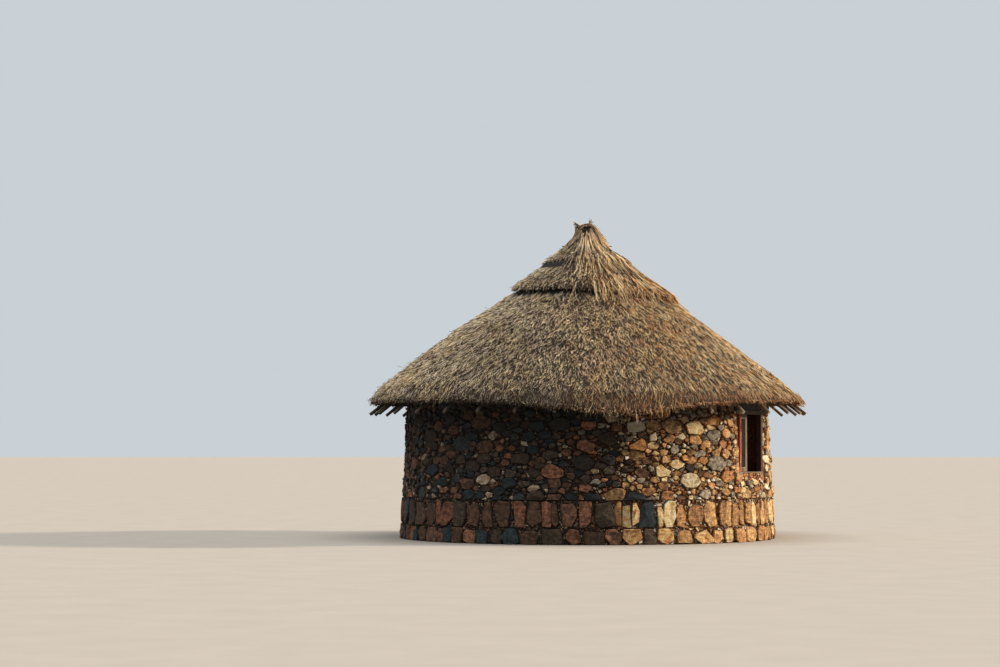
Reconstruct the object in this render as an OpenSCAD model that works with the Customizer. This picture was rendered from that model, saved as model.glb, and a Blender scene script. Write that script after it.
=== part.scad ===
// Rondavel hut: a round rubble wall under a conical thatched roof on pole rafters.
// +Z is up, the origin is on the ground at the centre of the wall, the front faces -Y.
// Angles are measured from +X towards +Y.

/* [Wall] */
// Outer radius of the wall at the ground
wall_r = 2985; // [2400:5:3600]
// Thickness of the wall at the ground
wall_t = 505; // [380:5:700]
// How far the outer face leans in from the ground to the wall's top
wall_batter = 115; // [0:5:180]
// Height of the wall
wall_h = 2405; // [2300:5:3100]

/* [Window] */
// Direction that the window faces
window_angle = -30; // [-60:1:-10]
// Width of the window's opening in the masonry
window_w = 870; // [600:10:1100]
// Height of the window's opening in the masonry
window_h = 960; // [600:10:1050]
// Height of the window's sill above the ground
window_sill_z = 1080; // [800:10:1200]
// How far the sash stands open into the room
sash_open = 4; // [0:1:80]

/* [Door] */
// Width of the doorway in the masonry
door_w = 850; // [750:10:1050]
// Height of the doorway in the masonry
door_h = 1950; // [1800:10:2150]
// Thickness of the door's planks
leaf_t = 40; // [25:1:50]

/* [Joinery] */
// Width of a frame's timbers, across the opening
frame_w = 65; // [45:1:90]
// Depth of a frame's timbers, through the wall
frame_d = 85; // [60:1:120]
// Thickness of the lintels
lintel_t = 90; // [60:5:140]
// How far a lintel runs into the wall at each end
lintel_bearing = 190; // [100:10:220]

/* [Roof frame] */
// Slope of the rafters
pitch = 37.5; // [33:0.5:41]
// How far the rafters reach out past the foot of the wall
eave_reach = 545; // [400:5:700]
// Diameter of the rafters
rafter_d = 50; // [40:1:60]
// Diameter of the sapling ring on the wall
plate_d = 100; // [70:5:130]
// Diameter of the hoops that the thatch is sewn to
lath_d = 22; // [16:1:30]
// Distance between hoops, along the slope
lath_pitch = 335; // [250:5:450]
// Rafters that run up to the apex block
main_rafters = 12; // [10:1:12]
// Short rafters between two long ones
jacks_per_bay = 2; // [1:1:2]
// Radius at which the short rafters end
jack_top_r = 880; // [700:10:1100]
// Radius of the apex block
apex_r = 150; // [130:5:180]
// Height of the apex block
apex_h = 200; // [160:10:260]

/* [Thatch] */
// Height of the main coat over the rafters' centre lines, lower down
thatch_full = 296; // [240:5:360]
// How much thicker than that the main coat is towards -X, and thinner towards +X
thatch_lean = 34; // [0:2:40]
// Height of the main coat over the rafters' centre lines, under the cap
thatch_thin = 228; // [180:5:260]
// How much further the eave reaches and hangs at the front than at the back
eave_droop = 195; // [0:5:220]
// How far the thatch's outer edge overhangs its underside, away from the front
lip_nose = 112; // [60:2:130]
// How far the fringe hangs below the slope at the front
fringe_hang = 75; // [0:5:110]
// Direction in which the eave hangs lowest
droop_angle = -84; // [-180:2:180]
// Radius of the cap's lower edge, on average
cap_r = 1330; // [1150:10:1500]
// How far the cap's lower edge is off centre, towards +X
cap_shift = 120; // [0:5:160]
// Thickness of the cap at its lower edge
cap_t = 85; // [50:5:120]
// Radius of the crown course's lower edge
crown_r = 690; // [560:10:850]
// Thickness of the crown course at its lower edge
crown_t = 55; // [35:5:80]

/* [Crown] */
// Radius of the smoke-tight plug of stalks in the apex
plug_r = 300; // [260:5:340]
// Radius of the tuft's bound neck
neck_r = 150; // [120:5:180]
// Height of the tuft above the apex block
tuft_h = 470; // [380:5:560]
// Diameter of the rope round the neck
rope_d = 18; // [12:1:26]
// Turns of rope round the neck
rope_turns = 3; // [1:1:4]
// Diameter of the peg through the crown
peg_d = 18; // [12:1:24]
// Length of the peg
peg_len = 810; // [780:10:900]

/* [Hidden] */

$fn = 192;
// Running fit between pieces that rest on one another
fit = 0.3;
// Length that carries a cut clear of what it cuts
past = 400;
stick_fn = 24;
door_angle = 90;
arcs = 12;
arc_step = 360 / arcs;

wall_top_r = wall_r - wall_batter;
room_r = wall_r - wall_t;
// The sapling ring lies near the outer edge of the wall's top
plate_r = wall_top_r - plate_d / 2 - 20;
plate_z = wall_h + fit + plate_d / 2;

window_head_z = window_sill_z + window_h;
// The window's frame stands past the top corners of its opening, flush with the stones' faces
window_proud = 50;
window_face = sqrt(pow(wall_r_at(window_head_z), 2) - pow(window_w / 2, 2)) + window_proud;
window_back = window_face - frame_d;
// The door's frame lies flush with the room side of the wall
door_back = sqrt(pow(room_r, 2) - pow(door_w / 2, 2));

// Height of a rafter's centre line where it passes a given radius
function rafter_z(r) = plate_z + (plate_d / 2 + rafter_d / 2 + fit) / cos(pitch)
    + (plate_r - r) * tan(pitch);
// Outer radius of the wall at a given height
function wall_r_at(z) = wall_r - wall_batter * z / wall_h;

rafter_tip_r = wall_r + eave_reach;
hoop_rise = rafter_d / 2 + fit + lath_d / 2;
thatch_rise = (hoop_rise + lath_d / 2 + fit) / cos(pitch);
apex_top = rafter_z(apex_r) + apex_h / 3;
hoop_first_r = rafter_tip_r - 190;
hoop_last_r = plug_r + 130;

roof_sides = 72;
// Radii between which the main coat thins towards the apex
thick_from_r = 2110;
thin_from_r = cap_r + 220;

// How strongly the front's sag acts in a given direction, from 0 to 1
function sag(angle) = pow((1 + cos(angle - droop_angle)) / 2, 20);
// Radius of the lower corner of the thatch's edge, and of its outermost point
function lip_r(angle) = rafter_tip_r - 125 + eave_droop * sag(angle);
function nose_r(angle) = lip_r(angle) + lip_nose - (lip_nose - 40) * sag(angle);
// The fringe hangs only where the lip has passed the rafters' tips
fringe_free_r = rafter_tip_r + rafter_d / 2 * sin(pitch) + 22;
fringe_fall = 2.3;
function fringe_drop(angle) =
    min(fringe_hang, fringe_fall * max(0, lip_r(angle) - fringe_free_r));
function lip_z(angle) = rafter_z(lip_r(angle)) + thatch_rise - fringe_drop(angle);
function coat_z(r) = rafter_z(r) + thatch_thin;
function thick_z(angle, r) = rafter_z(r) + thatch_full - thatch_lean * cos(angle);
function cap_edge_r(angle) = cap_r + cap_shift * cos(angle) - 25 * sin(3 * angle);
function crown_edge_r(angle) = crown_r + 20 * cos(2 * angle + 40);
// Length over which each course thickens towards its lower edge
cap_slope = 260;
crown_slope = (crown_r - plug_r) * 2 / 3;
// Thickness of a course at the apex
course_top_t = 12;
// Thickness of a course where its back meets its thick lower edge
function back_t(lip, top) = lip * 0.72 + top * 0.28;
// Thickness of a course's back at a given radius
function back_at(r, edge, slope, lip, top) =
    top + (back_t(lip, top) - top) * (r - plug_r) / (edge - slope - plug_r);
// Heights of the backs of the cap and of the crown course over the main coat
function cap_back(angle, r) =
    fit + back_at(r, cap_edge_r(angle), cap_slope, cap_t, course_top_t);
function crown_back(angle, r) =
    cap_back(angle, r) + fit
    + back_at(r, crown_edge_r(angle), crown_slope, crown_t, course_top_t);
// Where the crown course meets the plug
crown_z = coat_z(plug_r) + 2 * fit + 2 * course_top_t;
// How far the tuft's skirt laps over the crown course
skirt = 60;
neck_z = apex_top + tuft_h * 0.65;

function at(angle, r, z) = [r * cos(angle), r * sin(angle), z];
// The same for an inner corner, set out so that the flats between corners clear the radius
function at_inside(angle, r, z) = at(angle, r / cos(180 / roof_sides), z);

// Shell swept round the axis: one section of points in each direction.
// Unless it goes all the way round, its two ends are flat.
module swept_shell(sections, all_round = true) {
    n = len(sections);
    m = len(sections[0]);
    ends = [[for (j = [0:m - 1]) j], [for (j = [m - 1:-1:0]) (n - 1) * m + j]];
    polyhedron(
        points = [for (section = sections) each section],
        faces = concat(
            all_round ? [] : ends,
            [
                for (i = [0:n - (all_round ? 1 : 2)])
                    for (j = [0:m - 1])
                        let (
                            i2 = (i + 1) % n,
                            j2 = (j + 1) % m,
                            a = i * m + j,
                            b = i * m + j2,
                            c = i2 * m + j2,
                            d = i2 * m + j
                        )
                        each [[a, c, b], [a, d, c]]
            ]
        ),
        convexity = 6
    );
}

// Solid between a stack of rings, with flat ends
module ring_stack(rings) {
    n = len(rings[0]);
    count = len(rings);
    polyhedron(
        points = [for (ring = rings) each ring],
        faces = concat(
            [[for (i = [0:n - 1]) i]],
            [[for (i = [n - 1:-1:0]) (count - 1) * n + i]],
            [
                for (j = [0:count - 2])
                    for (i = [0:n - 1])
                        let (
                            a = j * n + i,
                            b = j * n + (i + 1) % n,
                            c = (j + 1) * n + (i + 1) % n,
                            d = (j + 1) * n + i
                        )
                        each [[a, c, b], [a, d, c]]
            ]
        ),
        convexity = 4
    );
}

// The wall's full section between two heights, swept through an angle
module wall_ring(z0, z1, start = 0, turn = 360) {
    rotate([0, 0, start])
        rotate_extrude(angle = turn)
            polygon([
                [room_r, z0],
                [wall_r_at(z0), z0],
                [wall_r_at(z1), z1],
                [room_r, z1]
            ]);
}

// Block that runs out through the wall in one direction
module bay(angle, w, z0, z1) {
    rotate([0, 0, angle])
        translate([room_r - past, -w / 2, z0])
            cube([wall_t + 2 * past, w, z1 - z0]);
}

// What is cut from the wall's arcs for the window, the door and their lintels
module openings() {
    bay(window_angle, window_w, -past, window_head_z + lintel_t / 2);
    bay(window_angle, window_w + 2 * lintel_bearing, window_head_z, wall_h + past);
    bay(door_angle, door_w, -past, door_h + lintel_t / 2);
    bay(door_angle, door_w + 2 * lintel_bearing, door_h, wall_h + past);
}

module wall_arc(i) {
    color("#a58a68")
        difference() {
            wall_ring(0, wall_h, window_angle + (i - 1) * arc_step, arc_step);
            openings();
        }
}

module wall_under_window() {
    color("#a58a68")
        difference() {
            intersection() {
                wall_ring(0, window_sill_z);
                bay(window_angle, window_w, -past, window_sill_z + past);
            }
            window_sill_box(fit, frame_d + window_proud, frame_w + past);
        }
}

// The masonry that a lintel carries
module wall_over(angle, w, z) {
    color("#a58a68")
        intersection() {
            wall_ring(z + lintel_t, wall_h);
            bay(angle, w + 2 * lintel_bearing, z, wall_h + past);
        }
}

module lintel(angle, w, z) {
    color("#8d7355")
        intersection() {
            wall_ring(z, z + lintel_t);
            bay(angle, w + 2 * lintel_bearing, z - past, z + lintel_t + past);
        }
}

// Frame timber set in the window's opening: its span across and its heights
module window_timber(from, to, z0, z1) {
    rotate([0, 0, window_angle])
        translate([window_back, from, z0])
            cube([frame_d, to - from, z1 - z0]);
}

module window_head() {
    color("#b9a184")
        window_timber(-window_w / 2, window_w / 2, window_head_z - frame_w, window_head_z);
}

// The sill timber is let into the masonry, flush with its top, in a seat that is open in front
module window_sill_box(gap, d, h) {
    rotate([0, 0, window_angle])
        translate([window_back - gap, -window_w / 2 - gap, window_sill_z - frame_w])
            cube([d + 2 * gap, window_w + 2 * gap, h]);
}

module window_sill() {
    color("#8f6f55")
        window_sill_box(0, frame_d, frame_w);
}

module window_stile(from) {
    color("#a4452f")
        window_timber(from, from + frame_w, window_sill_z, window_head_z - frame_w);
}

// Sizes of the sash, which closes the half of the light next to the left stile
sash_gap = 4;
sash_t = 38;
sash_bar = 56;
pane_t = 4;
sash_w = (window_w - 2 * frame_w) / 2 - sash_gap;
sash_z0 = window_sill_z + sash_gap;
sash_h = window_h - frame_w - 2 * sash_gap;

// Places what is drawn along +X from the sash's hinge, with its outer face on y = 0
module at_sash() {
    rotate([0, 0, window_angle])
        translate([window_back, -window_w / 2 + frame_w + fit, sash_z0])
            rotate([0, 0, 90 + sash_open])
                translate([0, -sash_t, 0])
                    children();
}

module window_sash() {
    color("#a08a70")
        at_sash()
            difference() {
                cube([sash_w, sash_t, sash_h]);
                translate([sash_bar, -past, sash_bar])
                    cube([sash_w - 2 * sash_bar, 2 * past, sash_h - 2 * sash_bar]);
            }
}

module window_pane() {
    color("#3c4244")
        at_sash()
            translate([sash_bar, (sash_t - pane_t) / 2, sash_bar])
                cube([sash_w - 2 * sash_bar, pane_t, sash_h - 2 * sash_bar]);
}

// Frame timber set in the doorway, flush with the room side
module door_timber(from, to, z0, z1) {
    translate([from, door_back, z0])
        cube([to - from, frame_d, z1 - z0]);
}

threshold_t = 45;

module door_head() {
    color("#6e5640")
        door_timber(-door_w / 2, door_w / 2, door_h - frame_w, door_h);
}

module door_jamb(from) {
    color("#6e5640")
        door_timber(from, from + frame_w, 0, door_h - frame_w);
}

module door_threshold() {
    color("#77603f")
        door_timber(-door_w / 2 + frame_w, door_w / 2 - frame_w, 0, threshold_t);
}

// Sizes of the door's leaf, which stands open at right angles to the wall
leaf_gap = 6;
leaf_w = door_w - 2 * frame_w - 2 * leaf_gap;
leaf_z0 = threshold_t + leaf_gap;
leaf_h = door_h - frame_w - leaf_gap - leaf_z0;
hinge_x = -door_w / 2 + frame_w;
ledge_h = 110;
ledge_t = 26;
ledge_inset = 180;

module door_leaf() {
    color("#7c6247")
        translate([hinge_x - leaf_t, door_back - fit - leaf_w, leaf_z0])
            cube([leaf_t, leaf_w, leaf_h]);
}

module door_ledges() {
    middle = (leaf_h - ledge_h) / 2;
    color("#6b533b")
        for (z = [ledge_inset, middle, leaf_h - ledge_h - ledge_inset])
            translate([hinge_x - leaf_t - ledge_t, door_back - fit - leaf_w + 30, leaf_z0 + z])
                cube([ledge_t, leaf_w - 90, ledge_h]);
}

// The sapling ring, in lengths that butt with a narrow joint
module wall_plate() {
    joint = 0.06;
    color("#7b6248")
        for (i = [0:arcs - 1])
            rotate([0, 0, (i + 0.5) * arc_step + joint])
                rotate_extrude(angle = arc_step - joint)
                    translate([plate_r, plate_z - fit])
                        circle(d = plate_d, $fn = stick_fn);
}

// Pole along the rafters' slope between two radii
module rafter(angle, from_r, to_r) {
    rotate([0, 0, angle])
        translate([from_r, 0, rafter_z(from_r)])
            rotate([0, pitch - 90, 0])
                cylinder(h = (from_r - to_r) / cos(pitch), d = rafter_d, $fn = stick_fn);
}

main_step = 360 / main_rafters;
jack_step = main_step / (jacks_per_bay + 1);

module main_rafters() {
    top_r = apex_r + fit + rafter_d / 2 * sin(pitch);
    color("#8a6f50")
        for (i = [0:main_rafters - 1])
            rafter(i * main_step, rafter_tip_r, top_r);
}

module jack_rafters() {
    color("#a88c66")
        for (i = [0:main_rafters - 1])
            for (j = [1:jacks_per_bay])
                rafter(i * main_step + j * jack_step, rafter_tip_r, jack_top_r);
}

// Hoops of bent saplings that lie on the rafters
module thatch_hoops() {
    step = lath_pitch * cos(pitch);
    color("#6f5a41")
        for (r = [hoop_first_r:-step:hoop_last_r])
            rotate_extrude()
                translate([r + hoop_rise * sin(pitch), rafter_z(r) + hoop_rise * cos(pitch)])
                    circle(d = lath_d, $fn = stick_fn);
}

module apex_block() {
    color("#5e4a36")
        translate([0, 0, apex_top - apex_h])
            cylinder(h = apex_h, r = apex_r);
}

// A quarter of the main coat, which hangs lowest at the front and thins under the cap
module main_thatch(facing) {
    function section(angle) =
        let (lip = lip_r(angle), nose = nose_r(angle), foot = lip_z(angle), s = sag(angle))
        [
            at(angle, plug_r, coat_z(plug_r)),
            at(angle, thin_from_r, coat_z(thin_from_r)),
            at(angle, thick_from_r, thick_z(angle, thick_from_r) - 8),
            at(angle, nose - 330, thick_z(angle, nose - 330)),
            at(angle, nose - 150, thick_z(angle, nose - 150) - 14),
            at(angle, nose - 50, foot + 130 + 60 * s),
            at(angle, nose, foot + 70 + 25 * s),
            at(angle, nose - 8, foot + 26),
            at(angle, lip, foot),
            at_inside(angle, lip - 20, rafter_z(lip - 20) + thatch_rise),
            at_inside(angle, plug_r, rafter_z(plug_r) + thatch_rise)
        ];
    quarter = roof_sides / 4;
    color("#8d7458")
        swept_shell(
            [for (i = [0:quarter]) section(facing - 45 + i * 360 / roof_sides)],
            all_round = false
        );
}

// Course with a thick rounded lower edge that lies on what is below it.
// edge_of gives its edge's radius, and seat_of how high it lies over the main coat.
module course(edge_of, seat_of, slope, lip, top) {
    function height(angle, r, t) = at(angle, r, coat_z(r) + seat_of(angle, r) + t);
    function section(angle) =
        let (edge = edge_of(angle))
        [
            height(angle, plug_r, top),
            height(angle, edge - slope, back_t(lip, top)),
            height(angle, edge - 45, lip),
            height(angle, edge + 12, lip * 0.72),
            height(angle, edge + 16, lip * 0.3),
            height(angle, edge, 0),
            height(angle, plug_r, 0)
        ];
    swept_shell([for (i = [0:roof_sides - 1]) section(i * 360 / roof_sides)]);
}

module thatch_cap() {
    color("#7d664c")
        course(
            function (angle) cap_edge_r(angle),
            function (angle, r) fit,
            cap_slope,
            cap_t,
            course_top_t
        );
}

module crown_course() {
    color("#89715a")
        course(
            function (angle) crown_edge_r(angle),
            function (angle, r) cap_back(angle, r) + fit,
            crown_slope,
            crown_t,
            course_top_t
        );
}

// Ring of the tuft: a circle, off centre towards +X where the stalks lean
function tuft_ring(r, z, lean = 0) =
    [for (i = [0:roof_sides - 1]) at(i * 360 / roof_sides, r, z) + [lean, 0, 0]];
// Ring of the tuft's skirt, which follows the crown course under it
function skirt_ring(r, rise) = [
    for (i = [0:roof_sides - 1])
        let (angle = i * 360 / roof_sides)
        at(angle, r, coat_z(r) + crown_back(angle, r) + rise)
];

// Bundle of stalks that plugs the apex, is tied at its neck and flares above it
module crown_tuft() {
    function up(share) = apex_top + tuft_h * share;
    color("#6d5a45")
        difference() {
            ring_stack([
                tuft_ring(plug_r - fit, apex_top + fit),
                tuft_ring(plug_r - fit, crown_z + 3 * fit),
                skirt_ring(plug_r + skirt, 2 * fit),
                skirt_ring(plug_r + skirt + 3, 14),
                tuft_ring(plug_r + 18, up(0.25)),
                tuft_ring(plug_r - 40, up(0.38), 16),
                tuft_ring(plug_r - 80, up(0.53), 40),
                tuft_ring(neck_r + 20, up(0.62), 10),
                tuft_ring(neck_r, neck_z),
                tuft_ring(neck_r, neck_z + rope_turns * rope_d),
                tuft_ring(neck_r + 14, neck_z + rope_turns * rope_d + 30, -15),
                tuft_ring(neck_r + 2, up(0.96), -50),
                tuft_ring(neck_r - 30, up(1), -60)
            ]);
            peg_solid(peg_d + 2 * fit, peg_len + past);
        }
}

// Straw rope wound round the neck
module crown_rope() {
    color("#4f4233")
        rotate_extrude()
            for (i = [0:rope_turns - 1])
                translate([neck_r + fit + rope_d / 2, neck_z + (i + 0.5) * rope_d])
                    circle(d = rope_d + 0.4, $fn = stick_fn);
}

module peg_solid(d, h) {
    translate([0, 0, crown_z + fit + peg_d / 2 + 3])
        rotate([0, 90, 0])
            cylinder(h = h, d = d, center = true, $fn = stick_fn);
}

module crown_peg() {
    color("#3f342a")
        peg_solid(peg_d, peg_len);
}

wall_arc(1);  // wall_arc_1
wall_arc(2);  // wall_arc_2
wall_arc(3);  // wall_arc_3
wall_arc(4);  // wall_arc_4
wall_arc(5);  // wall_arc_5
wall_arc(6);  // wall_arc_6
wall_arc(7);  // wall_arc_7
wall_arc(8);  // wall_arc_8
wall_arc(9);  // wall_arc_9
wall_arc(10);  // wall_arc_10
wall_arc(11);  // wall_arc_11
wall_arc(12);  // wall_arc_12
wall_under_window();
wall_over(window_angle, window_w, window_head_z);  // wall_over_window
wall_over(door_angle, door_w, door_h);  // wall_over_door
lintel(window_angle, window_w, window_head_z);  // window_lintel
window_head();
window_sill();
window_stile(-window_w / 2);  // window_left_stile
window_stile(window_w / 2 - frame_w);  // window_right_stile
window_sash();
window_pane();
lintel(door_angle, door_w, door_h);  // door_lintel
door_head();
door_jamb(-door_w / 2);  // door_left_jamb
door_jamb(door_w / 2 - frame_w);  // door_right_jamb
door_threshold();
door_leaf();
door_ledges();
wall_plate();
main_rafters();
jack_rafters();
thatch_hoops();
apex_block();
main_thatch(-90);  // main_thatch_front
main_thatch(0);  // main_thatch_right
main_thatch(90);  // main_thatch_back
main_thatch(180);  // main_thatch_left
thatch_cap();
crown_course();
crown_tuft();
crown_rope();
crown_peg();
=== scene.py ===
import math
import random

import bmesh
import bpy
from mathutils import Matrix, Vector, noise
from mathutils.bvhtree import BVHTree


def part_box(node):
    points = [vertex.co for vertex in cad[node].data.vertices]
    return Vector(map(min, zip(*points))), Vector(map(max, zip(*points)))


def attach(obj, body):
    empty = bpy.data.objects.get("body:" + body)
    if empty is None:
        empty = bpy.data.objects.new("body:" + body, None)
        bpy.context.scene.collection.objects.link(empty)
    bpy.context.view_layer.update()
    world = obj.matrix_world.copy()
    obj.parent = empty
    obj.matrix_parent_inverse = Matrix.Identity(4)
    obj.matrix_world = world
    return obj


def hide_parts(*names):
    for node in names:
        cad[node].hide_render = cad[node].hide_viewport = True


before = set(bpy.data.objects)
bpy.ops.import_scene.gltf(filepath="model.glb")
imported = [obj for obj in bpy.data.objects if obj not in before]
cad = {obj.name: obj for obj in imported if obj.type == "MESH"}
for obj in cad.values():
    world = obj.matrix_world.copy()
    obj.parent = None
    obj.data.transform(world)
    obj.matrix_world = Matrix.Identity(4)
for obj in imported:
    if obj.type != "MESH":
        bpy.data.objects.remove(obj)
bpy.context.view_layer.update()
scene = bpy.context.scene
# Vector noise would start from the clock
noise.seed_set(1)

# The camera stands where the photograph was taken from
camera = bpy.data.objects.new("camera", bpy.data.cameras.new("camera"))
scene.collection.objects.link(camera)
scene.camera = camera
camera.data.lens = 85
camera.data.sensor_width = 36
camera.data.clip_end = 600
camera.location = (-1.415, -38.4, 1.5)
camera.rotation_euler = (math.radians(92.7), 0, 0)

UP = Vector((0, 0, 1))
FULL_TURN = 2 * math.pi

# Stones are laid out flat first: s runs round the wall at this radius, z up and h outwards
FACE_R = 2.93
ROUND = FULL_TURN * FACE_R
WALL_FOOT_R, WALL_LEAN, WALL_TOP = 2.985, 0.115, 2.405
# The openings in the masonry: directions in degrees, half widths, and heights
WINDOW_TURN, WINDOW_HALF, WINDOW_LOW, WINDOW_HIGH = -30, 0.435, 1.08, 2.13
DOOR_TURN, DOOR_HALF, DOOR_HIGH = 90, 0.425, 2.04
# The sash stands ajar by this angle, into the room
SASH_OPEN = 4
# The tops of the foot row and of the row of slabs over it
FOOT_ROW_TOP, SLABS_TOP = 0.25, 0.66
# Stones are this much flatter than they are wide
FLATNESS = 0.62
# Chips are between these two half widths, and each row of stones is searched by these squares
SMALLEST_CHIP, LARGEST_CHIP = 0.009, 0.03
STONE_SQUARE, CHIP_SQUARE = 0.45, 0.3
# How deep the stones' roots lie in the mud
ROOT = 0.012

# The roof slopes at this angle, and the thatch's underside is this high at this radius
SLOPE = math.radians(37.5)
UNDER_FOOT_R, UNDER_FOOT_Z = 2.8, 2.61
# How far down the slope a rafter's sawn tip lies
TIP_DROP = 3.53 * math.cos(SLOPE) - 1.99 * math.sin(SLOPE) - 0.003
# The roof's quarters, from +X round by +Y
ROOF_SIDES = ("right", "back", "left", "front")
# Points of a CAD mesh that are nearer than this are one
SAME_POINT = 0.0004
# Where the tie round the neck is knotted, and the radius that its strands are twisted round
KNOT_ANGLE = math.radians(-104)
STRAND = 0.0045


def clamp(value, low=0, high=1):
    """A value held between two others"""
    return min(high, max(low, value))


def at_angle(angle, r=1, z=0):
    """The point at an angle, r metres from the axis and z metres up"""
    return Vector((r * math.cos(angle), r * math.sin(angle), z))


def outward(point):
    """The level way from the axis to a point"""
    return Vector((point.x, point.y, 0)).normalized()


def scatter(rng, *spreads):
    """A random shift, by the given spreads along X, Y and Z"""
    return Vector([rng.gauss(0, spread) for spread in spreads])


def linear(code):
    """The linear colour of an sRGB hex code"""
    parts = [int(code[i:i + 2], 16) / 255 for i in (1, 3, 5)]
    return (*[p / 12.92 if p <= 0.04045 else ((p + 0.055) / 1.055) ** 2.4 for p in parts], 1.0)


def add_node(tree, kind, sockets=None, **settings):
    """Adds a node with its settings, and its values or links by socket"""
    node = tree.nodes.new(kind)
    for name, value in settings.items():
        setattr(node, name, value)
    for name, value in (sockets or {}).items():
        if isinstance(value, bpy.types.NodeSocket):
            tree.links.new(value, node.inputs[name])
        else:
            node.inputs[name].default_value = value
    return node


def noise_in(tree, place, scale, detail, roughness=0.5, distortion=0):
    """Noise from 0 to 1, with its lumps 1 / scale metres apart"""
    return add_node(tree, "ShaderNodeTexNoise", {
        "Vector": place, "Scale": scale, "Detail": detail, "Roughness": roughness,
        "Distortion": distortion}).outputs[0]


def streaks_in(tree, place, width, along):
    """Noise drawn out into streaks of a width along one axis, each 22 widths long"""
    scale = [1 / width] * 3
    scale[along] /= 22
    stretched = add_node(tree, "ShaderNodeMapping", {"Vector": place, "Scale": scale})
    return noise_in(tree, stretched.outputs[0], 1, 5, 0.65)


def calc(tree, operation, *values):
    """The result of a sum with numbers"""
    return add_node(tree, "ShaderNodeMath", dict(enumerate(values)), operation=operation).outputs[0]


def vector_calc(tree, operation, *vectors):
    """The results of a sum with vectors: a vector and a number"""
    return add_node(tree, "ShaderNodeVectorMath", dict(enumerate(vectors)),
                    operation=operation).outputs


def scaled(tree, vector, by):
    """A vector times a number"""
    return add_node(tree, "ShaderNodeVectorMath", {0: vector, "Scale": by},
                    operation="SCALE").outputs[0]


def split(tree, vector):
    """The three numbers of a vector"""
    return add_node(tree, "ShaderNodeSeparateXYZ", {0: vector}).outputs


def joined(tree, *numbers):
    """A vector of numbers"""
    return add_node(tree, "ShaderNodeCombineXYZ", dict(enumerate(numbers))).outputs[0]


def ranged(tree, value, low, high, to_low=0, to_high=1):
    """A value carried from one range to another, and held at its ends"""
    return add_node(tree, "ShaderNodeMapRange",
                    {0: value, 1: low, 2: high, 3: to_low, 4: to_high}).outputs[0]


def mixed_number(tree, share, first, second):
    """Two numbers mixed, by the share of the second"""
    return add_node(tree, "ShaderNodeMix", {0: share, 2: first, 3: second},
                    data_type="FLOAT").outputs[0]


def mixed_colour(tree, share, first, second, how="MIX"):
    """Two colours mixed, each a socket or an sRGB hex code, by the share of the second"""
    first, second = [linear(c) if isinstance(c, str) else c for c in (first, second)]
    return add_node(tree, "ShaderNodeMix", {0: share, 6: first, 7: second},
                    data_type="RGBA", blend_type=how).outputs[2]


def colour_ramp(tree, value, stops):
    """A colour by a value, from sRGB hex codes at their places"""
    node = add_node(tree, "ShaderNodeValToRGB", {0: value})
    points = node.color_ramp.elements
    for i, (place, code) in enumerate(stops.items()):
        point = points[i] if i < len(points) else points.new(place)
        point.position = place
        point.color = linear(code)
    return node.outputs[0]


def own(tree, name, output="Fac"):
    """An attribute of the mesh"""
    return add_node(tree, "ShaderNodeAttribute", attribute_name=name).outputs[output]


def out_from_axis(tree, place):
    """How far a point is from the hut's axis"""
    flat = vector_calc(tree, "MULTIPLY", place, (1, 1, 0))[0]
    return vector_calc(tree, "LENGTH", flat)[1]


def round_the_axis(tree, place):
    """How far out a point is, its angle round the hut in radians, and its height"""
    x, y, z = split(tree, place)
    return out_from_axis(tree, place), calc(tree, "ARCTAN2", y, x), z


def start_material(name, roughness, **shader_sockets):
    """A material with its shader and the coordinates of the object"""
    material = bpy.data.materials.new(name)
    material.use_nodes = True
    tree = material.node_tree
    tree.nodes.clear()
    shader = add_node(tree, "ShaderNodeBsdfPrincipled",
                      {"Roughness": roughness, **shader_sockets})
    add_node(tree, "ShaderNodeOutputMaterial", {"Surface": shader.outputs[0]})
    place = add_node(tree, "ShaderNodeTexCoord").outputs["Object"]
    return material, tree, shader, place


def finish_material(material, shader, colour, height=None, strength=0, depth=0):
    """Gives a material its colour, and a fine relief that is so many metres deep"""
    tree = material.node_tree
    tree.links.new(colour, shader.inputs["Base Color"])
    if height is not None:
        relief = add_node(tree, "ShaderNodeBump",
                          {"Height": height, "Strength": strength, "Distance": depth})
        tree.links.new(relief.outputs[0], shader.inputs["Normal"])
    return material


def add_piece(name, shape, material, slot, *replaced, sharp=None):
    """Makes a piece of a finished mesh, which moves with the hut"""
    mesh = bpy.data.meshes.new(name)
    shape.to_mesh(mesh)
    shape.free()
    mesh.materials.append(material)
    if sharp is not None:
        mesh.shade_smooth()
        mesh.set_sharp_from_angle(angle=math.radians(sharp))
    piece = bpy.data.objects.new(name, mesh)
    scene.collection.objects.link(piece)
    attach(piece, "root")
    if replaced:
        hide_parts(*replaced)
    return piece


def islands(shape):
    """The separate shells of a mesh, as lists of vertices"""
    seen, found = set(), []
    for first in shape.verts:
        if first in seen:
            continue
        seen.add(first)
        group = [first]
        for v in group:
            for e in v.link_edges:
                other = e.other_vert(v)
                if other not in seen:
                    seen.add(other)
                    group.append(other)
        found.append(group)
    return found


def wall_face(s, z, h):
    """The point h metres proud of the wall's outer face.
    Stones lie back beside the window, so that its frame shows."""
    beside = abs(gap(math.radians(WINDOW_TURN) * FACE_R, s, ROUND, True)) - 0.44
    if h > 0 and 0.95 < z < 2.2:
        h *= clamp(beside / 0.14, 0.2)
    return at_angle(s / FACE_R, WALL_FOOT_R - WALL_LEAN * z / WALL_TOP + h, z)


def opening_on_face(turn, half, low, high, spare=0.01):
    """The rectangle that an opening takes out of the flat layout"""
    middle = math.radians(turn) * FACE_R % ROUND
    reach = math.asin(half / 2.9) * FACE_R + spare
    return middle - reach, middle + reach, low - spare, high + spare


def gap(s, t, width, wraps):
    """How far t lies past s, the short way round"""
    return (t - s + width / 2) % width - width / 2 if wraps else t - s


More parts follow.
